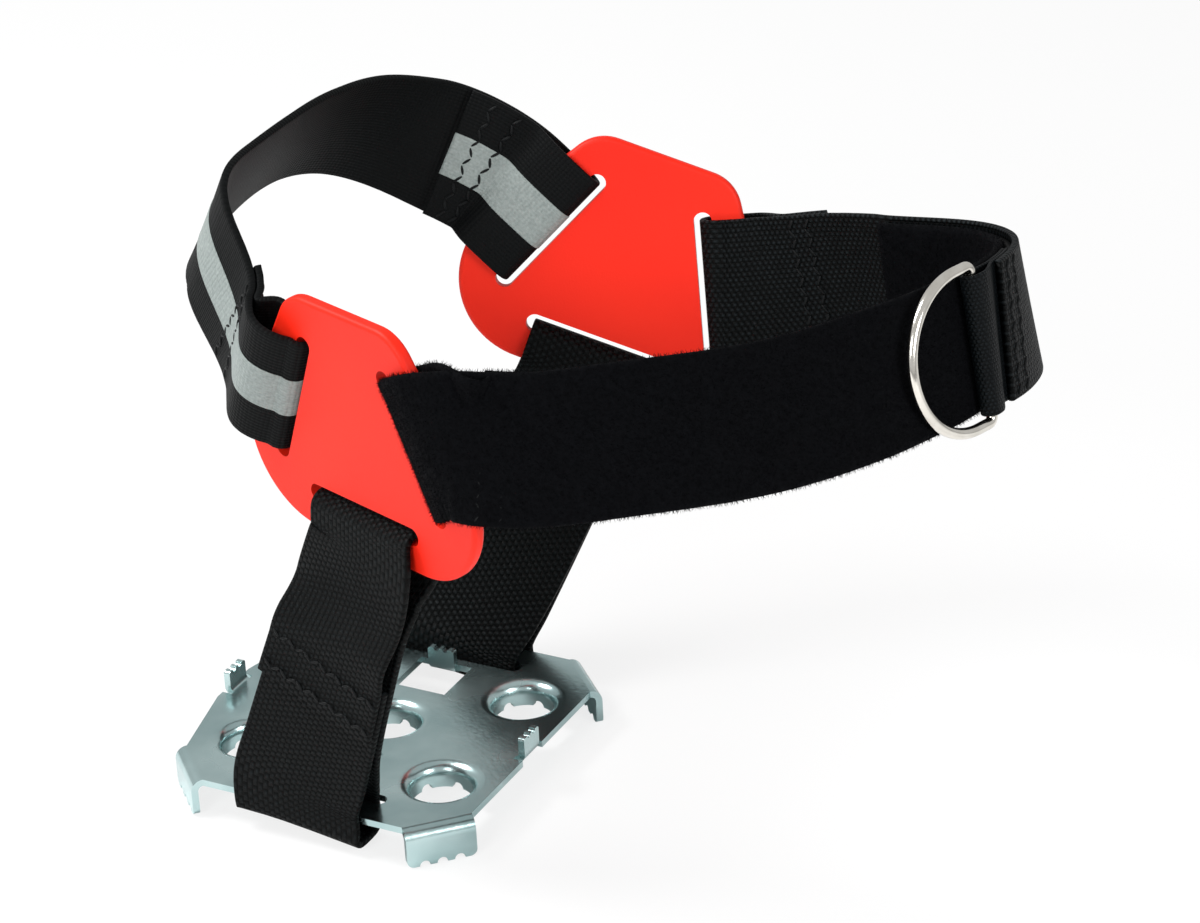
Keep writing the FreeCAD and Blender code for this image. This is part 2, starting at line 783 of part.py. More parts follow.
def ring_frame():
    """Return the D-ring bar's middle, its direction, the way to the arc, and outward."""
    place = LOOP_LINE.length - RING_FROM_END
    middle, across = LOOP_LINE.station(place)
    outward = LOOP_LINE.normal(place) * LOOP_OUT
    centre = middle + outward * RING_LIFT
    to_arc = unit(across.cross(outward))
    towards_link = LOOP_LINE.station(place - LAYER_STEP)[0] - middle
    if to_arc.dot(towards_link) < 0:
        to_arc = to_arc * -1
    return centre, across, to_arc, outward


def tab_stations():
    """Return the tab's stations: under the strap's end, round the ring's bar and back."""
    inner = LOOP_PILE / 2 + LAYER_GAP + TAB_TAPE / 2
    outer = inner + TAB_TAPE + TAB_LAYER_GAP
    under = over_loop(TAB_ROOT_FROM_END, RING_FROM_END - ROLL_START, inner)
    centre, across, to_arc, outward = ring_frame()
    radius = RING_WIRE / 2 + RING_PLAY + TAB_TAPE / 2
    roll = []
    for index in range(ROLL_STEPS + 1):
        angle = math.radians(-90 + 180 * index / ROLL_STEPS)
        reach = to_arc * (radius * math.cos(angle))
        roll.append((centre + reach + outward * (radius * math.sin(angle)), across))
    back = []
    top = RING_LIFT + radius
    for back_off, share in ROLL_BACK:
        lift = outer + (top - outer) * share
        from_end = RING_FROM_END - back_off
        back += over_loop(from_end, from_end, lift)[:1]
    back += over_loop(FLAP_END_FROM_END + ROLL_START, TAB_ROOT_FROM_END, outer)
    return under + roll + back


def make_d_ring():
    """Bend the ring flat with its bar along Y, then stand it at its swing from the strap."""
    straight = RING_HALF - RING_CORNER
    leg = RING_DEPTH - RING_HALF
    half = RING_CORNER * (1 - math.sqrt(0.5))
    edges = [Part.makeLine(Vector(0, -straight, 0), Vector(0, straight, 0))]
    for end in (1, -1):
        corner = Part.Arc(
            Vector(0, end * straight, 0),
            Vector(half, end * (RING_HALF - half), 0),
            Vector(RING_CORNER, end * RING_HALF, 0),
        )
        edges.append(corner.toShape())
        edges.append(
            Part.makeLine(Vector(RING_CORNER, end * RING_HALF, 0), Vector(leg, end * RING_HALF, 0))
        )
    arc = Part.Arc(Vector(leg, RING_HALF, 0), Vector(RING_DEPTH, 0, 0), Vector(leg, -RING_HALF, 0))
    edges.append(arc.toShape())
    path = Part.Wire(Part.__sortEdges__(edges))
    section = Part.Wire([Part.makeCircle(RING_WIRE / 2, Vector(0, 0, 0), TOE)])
    ring = path.makePipeShell([section], True, False)
    ring = Part.Solid(ring) if ring.ShapeType == "Shell" else ring
    centre, across, to_arc, outward = ring_frame()
    swing = math.radians(RING_SWING)
    lie = to_arc * math.cos(swing) + outward * math.sin(swing)
    turn = FreeCAD.Rotation(lie, across, lie.cross(across), "XYZ")
    ring.Placement = FreeCAD.Placement(centre, turn)
    return ring


def webbing_ends(link, side):
    """Return both runs' lowest points, just above the plate, and topmost ones, with widths."""
    skew = math.radians(LOOP_SKEW)
    low_width = Vector(0, math.cos(skew), -math.sin(skew))
    gap = LOOP_CLEARANCE + WEBBING / 2
    low_z = gap + STRAP_WIDTH / 2 * math.sin(skew)
    outer_low = Vector(side * (PLATE_HALF_WIDTH + gap), 0, low_z)
    inner_low = Vector(side * (PLATE_HALF_WIDTH - BAR_WIDTH - gap), 0, low_z)
    bulge = WEBBING_FOLD_RADIUS + FOLD_BULGE
    outer_top = link.at(0, -WEBBING_FOLD_END, bulge)
    inner_top = link.at(0, -WEBBING_FOLD_END, -bulge)
    return (outer_low, inner_low, low_width), (outer_top, inner_top, link.along)


def webbing_stations(link, side):
    """Return stations of one side webbing, from its inner lap down, round and up again."""
    (outer_low, inner_low, low_width), (outer_top, inner_top, top_width) = webbing_ends(link, side)

    def between(low, high, share):
        return low + (high - low) * share, low_width * (1 - share) + top_width * share

    turn_z = LOOP_CORNER - SHEET - LOOP_CLEARANCE - WEBBING / 2 - LOOP_SLACK
    path = [between(outer_low, outer_top, share) for share in INNER_LAYER]
    for corner_of, turns in ((outer_low, OUTER_TURN), (inner_low, INNER_TURN)):
        towards = -side if corner_of is outer_low else side
        centre = Vector(corner_of.x + towards * LOOP_CORNER, 0, turn_z)
        for turn in turns:
            angle = math.radians(turn)
            x = side * LOOP_CORNER * math.cos(angle)
            path.append((centre + Vector(x, 0, -LOOP_CORNER * math.sin(angle)), low_width))
    path += [between(inner_low, inner_top, share) for share in INNER_RUN]
    for index in range(FOLD_STEPS + 1):
        angle = math.radians(-90 + 180 * index / FOLD_STEPS)
        up = WEBBING_FOLD_RADIUS * (math.cos(angle) - 1)
        path.append((link.at(0, up, WEBBING_FOLD_RADIUS * math.sin(angle)), top_width))
    path += [between(outer_low, outer_top, share) for share in OUTER_RUN]
    for share in OUTER_LAYER:
        point, width = between(outer_low, outer_top, share)
        path.append((point + link.out * WEBBING_LAYERS, width))
    return path


def webbing_seam(link, side):
    (outer_low, _, low_width), (outer_top, _, top_width) = webbing_ends(link, side)
    run = outer_top - outer_low
    frames = []
    for row in (-1, 1):
        share = (WEBBING_LAP_LOW + WEBBING_LAP_HIGH) / 2 + row * SEAM_ROW_STEP / run.Length
        across = squared_width(unit(run), low_width * (1 - share) + top_width * share)
        normal = unit(run).cross(across)
        normal = normal if normal.dot(link.out) > 0 else normal * -1
        frames.append((outer_low + run * share, across, normal))
    reach = WEBBING / 2 + THREAD_PROUD
    return threads(frames, -reach, WEBBING_LAYERS + reach)


def save(shape, node):
    """Check one sub-part and write it under its node's name."""
    solids = shape.Solids
    print(node, "solids", len(solids), "valid", shape.isValid())
    if len(solids) == 1:
        shape = solids[0]
    shape.exportStep(os.path.join("parts", node + ".step"))


def save_straps():
    pieces = elastic_pieces()
    stripe_lift = ELASTIC_OUT * (ELASTIC + STRIPE) / 2
    bands = joined_strips(pieces.values(), STRAP_WIDTH, ELASTIC)
    stripes = joined_strips(pieces.values(), STRIPE_WIDTH, STRIPE, stripe_lift)
    for node, band, stripe in zip(pieces, bands, stripes):
        save(band, node)
        save(stripe, node.replace("elastic", "reflective_stripe"))
    save(strip(loop_strap_stations(), STRAP_WIDTH, LOOP_PILE), "loop_strap")
    save(strip(hook_strap_stations(), STRAP_WIDTH, WEBBING), "hook_strap")
    flap_start = HINGE_FROM_END + HINGE_GAP
    flap = over_loop(flap_start, PATCH_END_FROM_END, CLOSED_OFFSET)
    flap += over_loop(PATCH_END_FROM_END, FLAP_END_FROM_END, CLOSED_OFFSET)[1:]
    save(strip(flap, STRAP_WIDTH, WEBBING), "hook_strap_end")
    tape = HOOK_TAPE - TAPE_GAP
    tape_lift = LOOP_PILE / 2 + LAYER_GAP + tape / 2
    tape_stations = over_loop(flap_start, PATCH_END_FROM_END, tape_lift)
    save(strip(tape_stations, PATCH_WIDTH, tape), "hook_patch")
    rear_stations = over_loop(0.0, HINGE_FROM_END, tape_lift)
    save(strip(rear_stations, PATCH_WIDTH, tape), "hook_patch_rear")
    save(strip(tab_stations(), STRAP_WIDTH, TAB_TAPE), "d_ring_tab")


def save_seams():
    line = ELASTIC_LINE
    offset = -ELASTIC_OUT * ELASTIC_LAYERS
    save(tail_seam(line, SEAM_PLACE, offset, ELASTIC), "elastic_right_stitches")
    save(tail_seam(line, line.length - SEAM_PLACE, offset, ELASTIC), "elastic_left_stitches")
    offset = -LOOP_OUT * LOOP_LAYERS
    save(tail_seam(LOOP_LINE, SEAM_PLACE, offset, LOOP_PILE), "loop_strap_stitches")
    offset = HOOK_OUT * WEBBING_LAYERS
    save(tail_seam(HOOK_LINE, SEAM_PLACE, offset, WEBBING), "hook_strap_stitches")
    tab_place = LOOP_LINE.length - (FLAP_END_FROM_END + TAB_ROOT_FROM_END) / 2
    frames = [
        (middle, across, normal * LOOP_OUT)
        for middle, across, normal in seam_frames(LOOP_LINE, tab_place)
    ]
    under = LOOP_PILE / 2 + LAYER_GAP
    over = CLOSED_OFFSET + WEBBING / 2 + THREAD_PROUD
    save(threads(frames, under, over), "d_ring_tab_stitches")
    save(webbing_seam(RIGHT_LINK, 1), "right_webbing_stitches")
    save(webbing_seam(LEFT_LINK, -1), "left_webbing_stitches")


def main():
    os.makedirs("parts", exist_ok=True)
    save(make_heel_plate(), "heel_plate")
    save(make_link_plate(RIGHT_LINK), "right_link_plate")
    save(make_link_plate(LEFT_LINK), "left_link_plate")
    save(strip(webbing_stations(RIGHT_LINK, 1), STRAP_WIDTH, WEBBING), "right_side_webbing")
    save(strip(webbing_stations(LEFT_LINK, -1), STRAP_WIDTH, WEBBING), "left_side_webbing")
    save_straps()
    save_seams()
    save(make_d_ring(), "d_ring")


main()
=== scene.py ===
import math

import bpy
import numpy as np
from mathutils import Matrix, Vector


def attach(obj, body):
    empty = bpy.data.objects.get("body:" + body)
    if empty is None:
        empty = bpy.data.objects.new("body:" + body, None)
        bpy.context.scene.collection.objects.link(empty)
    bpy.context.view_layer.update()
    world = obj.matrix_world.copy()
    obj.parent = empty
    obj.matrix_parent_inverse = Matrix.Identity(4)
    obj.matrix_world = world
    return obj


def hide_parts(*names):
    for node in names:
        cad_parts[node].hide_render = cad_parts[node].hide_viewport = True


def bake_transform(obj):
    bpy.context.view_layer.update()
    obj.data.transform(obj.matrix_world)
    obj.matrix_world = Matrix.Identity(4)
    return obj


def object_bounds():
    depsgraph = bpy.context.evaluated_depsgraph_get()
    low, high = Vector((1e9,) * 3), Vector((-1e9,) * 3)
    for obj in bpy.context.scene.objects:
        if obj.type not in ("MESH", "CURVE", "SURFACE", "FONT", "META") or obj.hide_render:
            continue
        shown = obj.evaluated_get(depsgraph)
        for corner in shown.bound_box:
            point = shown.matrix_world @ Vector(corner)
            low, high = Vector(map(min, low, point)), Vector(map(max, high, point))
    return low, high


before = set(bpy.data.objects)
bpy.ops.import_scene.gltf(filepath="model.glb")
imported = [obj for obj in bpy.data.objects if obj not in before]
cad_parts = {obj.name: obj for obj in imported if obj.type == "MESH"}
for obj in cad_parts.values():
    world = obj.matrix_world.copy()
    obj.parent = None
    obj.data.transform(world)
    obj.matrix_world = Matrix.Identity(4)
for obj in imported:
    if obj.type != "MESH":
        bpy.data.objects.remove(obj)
cad_low, cad_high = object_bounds()

# Lengths are in millimetres, as in the CAD source, and turn into metres where a mesh is made.
# Lights, camera, floor and bump depths are in metres, and noise scales are per metre.
MM = 0.001
UP = np.array([0.0, 0.0, 1.0])
TOE = np.array([0.0, 1.0, 0.0])
RIGHT = np.array([1.0, 0.0, 0.0])

# Sizes shared with the CAD source: heel plate
SHEET = 1.5
PLATE_HALF_WIDTH = 37.6
BAR_WIDTH = 6.0

# Straps
STRAP_WIDTH = 30.0
WEBBING = 1.5
ELASTIC = 1.6
LOOP_PILE = 2.0
HOOK_TAPE = 1.6
TAPE_GAP = 0.1
PATCH_WIDTH = 27.0
TAB_TAPE = 0.75
STRIPE_WIDTH = 10.0
LAYER_GAP = 0.3
TAB_LAYER_GAP = 0.05
SEAM_ROW_STEP = 4.0

# Link plates; their places are the middle, the yaw, the dip, the lean and the side
LINK_SLOT_ANGLE = 65.8
LINK_SLOT_SPREAD = 18.3
LINK_SLOT_RISE = 20.7
LINK_LOW_CORNER = (16.6, 9.7)
LINK_LOW_CORNER_RADIUS = 18.3
LINK_HIGH_CORNER = (11.0, 35.5)
LINK_HIGH_CORNER_RADIUS = 9.3
RIGHT_LINK_PLACE = ((37.7, 23.3, 74.2), 20.0, -1.1, 2.9, 1)
LEFT_LINK_PLACE = ((-67.4, 19.9, 63.2), 18.9, 20.8, 14.6, -1)

# Folds round the link plates' bars, and the tails that are sewn down
FOLD_RADIUS = 2.75
FOLD_BULGE = 0.9
ELASTIC_BULGE = 2.2
BAR_OVERHANG = 1.4
LEAVE_REACH = 0.6
JOIN_REACH = 5.5
WEBBING_FOLD_RADIUS = 3.1
WEBBING_FOLD_END = 8.5
FOLD_STEPS = 6
TAIL_START = 16.0
TAIL_END = 27.0
SEAM_PLACE = 20.5
AFTER_FOLD = 2.0

# Steps between stations
TAIL_STEP = 3.5
FINE_STEP = 2.5
LAYER_STEP = 3.0
FREE_STEP = 4.0

# Loop of the side webbing round the plate's bar
LOOP_CLEARANCE = 0.4
LOOP_SLACK = 2.35
LOOP_CORNER = 1.7
LOOP_SKEW = 7.0

# Side webbing: how far up each run its stations lie, as shares of the run, and its turns round
# the plate's bar. Only here, the inner run hangs towards the outer one, by the second share.
WEBBING_LAP_LOW = 0.40
WEBBING_LAP_HIGH = 0.60
INNER_LAYER = (WEBBING_LAP_HIGH, 0.45, 0.3, 0.15, 0)
INNER_RUN = ((0, 0), (0.12, 0.35), (0.25, 0.62), (0.5, 0.72), (0.75, 0.6), (0.9, 0.25), (1, 0))
OUTER_RUN = (1, 0.8)
OUTER_LAYER = (0.66, 0.55, WEBBING_LAP_LOW)
OUTER_TURN = (0, 30, 60, 90)
INNER_TURN = (90, 120, 150, 180)

# Free routes of the straps
ELASTIC_ROUTE = [
    (16.0, -24.0, 116.5),
    (0.5, -29.0, 118.8),
    (-17.7, -30.6, 119.4),
    (-36.0, -30.6, 118.4),
    (-51.0, -27.0, 115.0),
    (-62.0, -18.0, 108.5),
]
ELASTIC_APEX_TOP = (0, 0.62, 0.78)
ELASTIC_ARM_START = 29.0
ELASTIC_ARM_END = 48.0
LOOP_ROUTE = [
    (48.3, 61.0, 100.3),
    (36.5, 77.2, 99.7),
    (21.5, 90.1, 97.8),
    (1.5, 101.0, 94.6),
    (-18.0, 109.7, 93.1),
    (-34.9, 115.3, 91.9),
    (-50.0, 119.0, 91.2),
    (-64.0, 118.3, 88.8),
    (-73.5, 114.8, 87.0),
    (-79.0, 107.8, 85.4),
    (-80.8, 98.0, 84.0),
    (-80.5, 84.0, 82.6),
]
LOOP_FRONT_TOP = (-0.30, -0.28, 0.91)
LOOP_BEND_TOP = (0.06, -0.16, 0.98)
HOOK_ROUTE = [(-85.4, 64.5, 78.6), (-86.0, 74.5, 80.9)]
# What lies on the loop strap, measured back from its end
HINGE_FROM_END = 18.0
FLAP_END_FROM_END = 55.5
PATCH_END_FROM_END = 45.0
TAB_ROOT_FROM_END = 46.0
RING_FROM_END = 64.0
HINGE_GAP = 0.3

# Roll of the tab round the ring: its start, its steps, and its way back down as distances
# behind the ring and shares of the roll's height
ROLL_START = 1.0
ROLL_STEPS = 8
ROLL_BACK = ((2.0, 0.92), (3.5, 0.7), (5.0, 0.4), (6.5, 0.1))

# D-ring
RING_WIRE = 2.4
RING_HALF = 16.7
RING_DEPTH = 21.5
RING_CORNER = 1.5
RING_SWING = -2.5
RING_PLAY = 0.3

ELASTIC_LAYERS = ELASTIC + LAYER_GAP
WEBBING_LAYERS = WEBBING + LAYER_GAP
LOOP_LAYERS = LOOP_PILE + LAYER_GAP
CLOSED_OFFSET = LOOP_PILE / 2 + LAYER_GAP + HOOK_TAPE + WEBBING / 2
RING_LIFT = LOOP_PILE / 2 + LAYER_GAP + TAB_TAPE + RING_PLAY + RING_WIRE / 2

# Sizes that only the looks model has: how finely lines are read and straps are drawn, and
# the sine below which a point on a rounded edge counts as level
ROUTE_SAMPLES = 2000
CURVE_SAMPLES = 40
TANGENT_REACH = 0.2
END_FIT_POINTS = 4
FACE_SPACING = 0.6
EDGE_STEPS = 6
LEVEL = 1e-6
WEBBING_SPACING = 0.4
ELASTIC_SPACING = 0.5
LOOP_SPACING = 0.6
HOOK_SPACING = 0.45
TAPE_SPACING = 0.6
TAB_SPACING = 0.4

# Radii of the straps' rounded edges, and the stripe's thickness
EDGE_ROUND = 0.45
LOOP_EDGE_ROUND = 0.8
TAB_EDGE_ROUND = 0.3
STRIPE = 0.3
STRIPE_EDGE_ROUND = 0.15

# Length each way over which the hook strap bends when it opens
HINGE_REACH = 3.0

# Stitches: beads in zigzag rows across the strap
STITCH_LENGTH = 2.5
STITCH_RADIUS = 0.34
STITCH_TURN = 32.0
STITCHES_IN_ROW = 13
STITCH_SEGMENTS = 10
STITCH_RINGS = 8
SEAM_WIDTH = 28.5
TAB_STITCH_SINK = 0.3

# Fibres of the loop pile: number on a square metre, shape, lean and spin in radians
FIBRE_DENSITY = 2.6e6
FIBRE_LENGTH = 0.85
FIBRE_RADIUS = 0.075
FIBRE_SIDES = 3
FIBRE_LEAN = 0.75
FIBRE_SPIN = 6.28
FIBRE_SEED = 7

# Points along the D-ring's bar, corners and arc, and round its wire
RING_BAR_POINTS = 24
RING_CORNER_POINTS = 10
RING_ARC_POINTS = 73
RING_SIDES = 24

# Pitch of the elastic's ribs; waves of the hook tape, in radians on a millimetre
RIB_PITCH = 0.95
HOOKS_ALONG = 2.4
HOOKS_ACROSS = 2.8

# Strength of the surroundings as a light and in mirrors; the floor's colour and own glow
WORLD_LIGHT = 0.36
WORLD_GLOSS = 0.6
FLOOR_GAP = 0.0002
FLOOR_REACH = 6.0
FLOOR_GREY = 0.9
FLOOR_GLOW = 0.8
WHITE = (1.0, 1.0, 1.0, 1.0)

# Lights: place, size and power
LIGHT_TARGET = (-0.02, 0.04, 0.05)
LIGHTS = {
    "key": ((0.15, -0.45, 0.75), 0.4, 7.0),
    "side": ((0.8, 0.0, 0.5), 0.35, 3.5),
    "front": ((0.25, 0.8, 0.4), 0.35, 3.5),
}

# Camera, as solved from the photo
CAMERA_PLACE = Vector((0.6765, 0.4257, 0.4723))
CAMERA_TARGET = Vector((-0.0222, 0.0435, 0.0605))
CAMERA_ROLL = -3.1
CAMERA_LENS = 128.0
SENSOR_WIDTH = 36.0


def vec(*values):
    return np.array(values[0] if len(values) == 1 else values, float)


def unit(vector):
    return vector / np.linalg.norm(vector)


def turn_about(axis, degrees):
    return np.array(Matrix.Rotation(math.radians(degrees), 3, Vector(axis)))


def bar_reach():
    """Return how far the link plate's edge lies from the middle of a side slot."""
    (low_x, low_y), (high_x, high_y) = LINK_LOW_CORNER, LINK_HIGH_CORNER
    gap = math.hypot(high_x - low_x, high_y - low_y)
    heading = math.atan2(high_y - low_y, high_x - low_x)
    angle = heading - math.acos((LINK_LOW_CORNER_RADIUS - LINK_HIGH_CORNER_RADIUS) / gap)
    edge = low_x * math.cos(angle) + low_y * math.sin(angle) + LINK_LOW_CORNER_RADIUS
    return edge - LINK_SLOT_SPREAD * math.cos(angle) - LINK_SLOT_RISE * math.sin(angle)


BAR_EDGE = bar_reach() + BAR_OVERHANG


class Link:
    """A link plate's own frame: along its lower slot, up, and outward from the foot."""

    def __init__(self, middle, yaw, dip, lean, side):
        turn = turn_about(UP, -side * yaw)
        turn = turn @ turn_about(RIGHT, -dip) @ turn_about(TOE, side * lean)
        self.middle = vec(middle)
        self.along = turn @ TOE
        self.up = turn @ UP
        self.out = turn @ RIGHT * side

    def at(self, along, up, out):
        return self.middle + self.along * along + self.up * up + self.out * out

    def slot(self, end):
        angle = math.radians(LINK_SLOT_ANGLE)
        middle = self.at(end * LINK_SLOT_SPREAD, LINK_SLOT_RISE, 0)
        run = self.along * (-end * math.cos(angle)) + self.up * math.sin(angle)
        away = self.along * (end * math.sin(angle)) + self.up * math.cos(angle)
        return middle, run, away, self.out


RIGHT_LINK = Link(*RIGHT_LINK_PLACE)
LEFT_LINK = Link(*LEFT_LINK_PLACE)


def travelled(points):
    """Return how far along a line of points each of them lies."""
    steps = np.linalg.norm(np.diff(points, axis=0), axis=1)
    return np.concatenate([[0], np.cumsum(steps)])


def read_off(at, marks, rows):
    """Interpolate vectors that stand at the marks, at one place or at many."""
    return np.array([np.interp(at, marks, rows[:, axis]) for axis in range(3)]).T


def cubic(start, leave, stop, arrive, u):
    """Return points of the cubic between two points that has the given slopes there."""
    return (
        start * (2 * u**3 - 3 * u**2 + 1)
        + leave * (u**3 - 2 * u**2 + u)
        + stop * (3 * u**2 - 2 * u**3)
        + arrive * (u**3 - u**2)
    )


def half_turn(steps):
    return np.radians(np.linspace(-90, 90, steps + 1))


class Route:
    """A strap's smooth middle line: a cubic spline by chord length, with a width direction."""

    def __init__(self, points, widths):
        points = np.array([vec(point) for point in points])
        marks = travelled(points)
        slopes = self.slopes(marks, points)
        t = np.linspace(0, marks[-1], ROUTE_SAMPLES)
        index = np.clip(np.searchsorted(marks, t, side="right") - 1, 0, len(marks) - 2)
        span = (marks[index + 1] - marks[index])[:, None]
        u = (t - marks[index])[:, None] / span
        leave, arrive = slopes[index] * span, slopes[index + 1] * span
        self.line = cubic(points[index], leave, points[index + 1], arrive, u)
        self.distance = travelled(self.line)
        self.length = self.distance[-1]
        self.marks = np.interp(marks, t, self.distance)
        self.widths = np.array([vec(width) for width in widths])

    @staticmethod
    def slopes(marks, points):
        """Return the slopes of a smooth spline whose ends follow their nearest points."""
        count = len(marks)
        gaps = np.diff(marks)
        matrix = np.zeros((count, count))
        right = np.zeros((count, 3))
        for index in range(1, count - 1):
            before, after = gaps[index - 1], gaps[index]
            matrix[index, index - 1] = after
            matrix[index, index] = 2 * (before + after)
            matrix[index, index + 1] = before
            right[index] = 3 * (
                after * (points[index] - points[index - 1]) / before
                + before * (points[index + 1] - points[index]) / after
            )
        size = min(END_FIT_POINTS, count)
        for index, near in ((0, slice(0, size)), (count - 1, slice(count - size, count))):
            matrix[index, index] = 1
            for axis in range(3):
                fit = np.polyfit(marks[near] - marks[index], points[near, axis], size - 1)
                right[index, axis] = fit[-2]
        return np.linalg.solve(matrix, right)

    def station(self, distance):
        distance = min(max(distance, 0), self.length)
        width = read_off(distance, self.marks, self.widths)
        tangent = self.tangent(distance)
        across = unit(width - tangent * np.dot(width, tangent))
        return read_off(distance, self.distance, self.line), across

    def tangent(self, distance):
        places = max(distance - TANGENT_REACH, 0), min(distance + TANGENT_REACH, self.length)
        start, stop = (read_off(place, self.distance, self.line) for place in places)
        return unit(stop - start)

    def normal(self, distance):
        return np.cross(self.tangent(distance), self.station(distance)[1])

    @staticmethod
    def places(start, stop, step):
        return np.linspace(start, stop, max(2, round(abs(stop - start) / step) + 1))

    def stations(self, start, stop, step):
        return [self.station(distance) for distance in self.places(start, stop, step)]

    def beside(self, start, stop, step, offset):
        layer = []
        for distance in self.places(start, stop, step):
            middle, across = self.station(distance)
            layer.append((middle + self.normal(distance) * offset, across))
        return layer


def slot_point(slot, reach, rise):
    middle, run, away, out = slot
    return middle + away * reach + out * rise


def fold(slot, side):
    """Return stations round a slot's bar, from the far face of the plate to the side face."""
    stations = []
    for angle in half_turn(FOLD_STEPS):
        reach = FOLD_RADIUS * (1 - math.cos(angle))
        stations.append((slot_point(slot, reach, side * FOLD_RADIUS * math.sin(angle)), slot[1]))
    return stations


def folded_end(slot, side, route, tail_offset):
    """Return the stations of a tail, sewn down beside its route, and of the fold after it."""
    tail = route.beside(TAIL_END, TAIL_START, TAIL_STEP, tail_offset)
    beside_bar = [(slot_point(slot, BAR_EDGE, -side * FOLD_RADIUS), slot[1])]
    return tail + beside_bar + fold(slot, side)


def elastic_route():
    right, left = RIGHT_LINK.slot(-1), LEFT_LINK.slot(-1)
    bulge = FOLD_RADIUS + FOLD_BULGE
    wide_bulge = FOLD_RADIUS + ELASTIC_BULGE
    starts = [slot_point(right, FOLD_RADIUS, FOLD_RADIUS), slot_point(right, BAR_EDGE, wide_bulge)]
    starts.append(slot_point(right, BAR_EDGE + JOIN_REACH, ELASTIC_LAYERS / 2))
    stops = [slot_point(left, BAR_EDGE + JOIN_REACH, ELASTIC_LAYERS / 2)]
    stops.append(slot_point(left, BAR_EDGE, bulge))
    stops.append(slot_point(left, FOLD_RADIUS, FOLD_RADIUS))
    widths = [right[1]] * 3
    free = len(ELASTIC_ROUTE)
    top = vec(ELASTIC_APEX_TOP)
    for index in range(free):
        share = (index + 1) / (free + 1)
        if share < 0.5:
            widths.append(right[1] * (1 - 2 * share) + top * (2 * share))
        else:
            widths.append(top * (2 - 2 * share) + left[1] * (2 * share - 1))
    return Route(starts + ELASTIC_ROUTE + stops, widths + [left[1]] * 3)


def loop_route():
    slot = RIGHT_LINK.slot(1)
    points = [slot_point(slot, FOLD_RADIUS, FOLD_RADIUS)]
    points.append(slot_point(slot, BAR_EDGE + LEAVE_REACH, FOLD_RADIUS))
    points += LOOP_ROUTE
    front, bend = vec(LOOP_FRONT_TOP), vec(LOOP_BEND_TOP)
    widths = [slot[1], slot[1], slot[1] + front] + [front] * 4 + [front + bend]
    widths += [bend] * (len(points) - len(widths))
    return Route(points, widths)


LOOP_LINE = loop_route()
ELASTIC_LINE = elastic_route()


def outward_sign(route, outward):
    """Return which way the route's normal points, seen at half its length."""
    return 1 if np.dot(route.normal(route.length / 2), outward) > 0 else -1


LOOP_OUT = outward_sign(LOOP_LINE, RIGHT + TOE)
ELASTIC_OUT = outward_sign(ELASTIC_LINE, -TOE)


def hook_route():
    slot = LEFT_LINK.slot(1)
    points = [slot_point(slot, FOLD_RADIUS, -FOLD_RADIUS)]
    points.append(slot_point(slot, BAR_EDGE + LEAVE_REACH, -FOLD_RADIUS))
    points += HOOK_ROUTE
    bend = vec(LOOP_BEND_TOP)
    widths = [slot[1], slot[1], slot[1] + bend, bend]
    for distance in (0.0, HINGE_FROM_END):
        place = LOOP_LINE.length - distance
        middle, across = LOOP_LINE.station(place)
        points.append(middle + LOOP_LINE.normal(place) * (LOOP_OUT * CLOSED_OFFSET))
        widths.append(across)
    return Route(points, widths)


HOOK_LINE = hook_route()
HOOK_OUT = outward_sign(HOOK_LINE, -RIGHT)


def over_loop(start_from_end, stop_from_end, lift):
    """Return stations of a layer on the loop strap's outer face."""
    start = LOOP_LINE.length - start_from_end
    stop = LOOP_LINE.length - stop_from_end
    return LOOP_LINE.beside(start, stop, LAYER_STEP, LOOP_OUT * lift)


def elastic_stations():
    line = ELASTIC_LINE
    offset = -ELASTIC_OUT * ELASTIC_LAYERS
    stations = folded_end(RIGHT_LINK.slot(-1), 1, line, offset)
    stations += line.stations(AFTER_FOLD, line.length - AFTER_FOLD, FINE_STEP)
    left = LEFT_LINK.slot(-1)
    stations += list(reversed(fold(left, 1)))
    stations.append((slot_point(left, BAR_EDGE, -FOLD_RADIUS), left[1]))
    start, stop = line.length - TAIL_START, line.length - TAIL_END
    return stations + line.beside(start, stop, TAIL_STEP, offset)


def loop_strap_stations():
    start = folded_end(RIGHT_LINK.slot(1), 1, LOOP_LINE, -LOOP_OUT * LOOP_LAYERS)
    return start + LOOP_LINE.stations(AFTER_FOLD, LOOP_LINE.length, FREE_STEP)


def hook_strap_stations():
    start = folded_end(LEFT_LINK.slot(1), -1, HOOK_LINE, HOOK_OUT * WEBBING_LAYERS)
    start += HOOK_LINE.stations(AFTER_FOLD, HOOK_LINE.marks[-2] - LAYER_STEP, FREE_STEP)
    return start + over_loop(0.0, FLAP_END_FROM_END, CLOSED_OFFSET)


def ring_frame():
    """Return the middle of the ring's bar, and its directions: across, to the arc, outward."""
    place = LOOP_LINE.length - RING_FROM_END
    middle, across = LOOP_LINE.station(place)
    outward = LOOP_LINE.normal(place) * LOOP_OUT
    to_arc = unit(np.cross(across, outward))
    if np.dot(to_arc, LOOP_LINE.tangent(place)) > 0:
        to_arc = -to_arc
    return middle + outward * RING_LIFT, across, to_arc, outward


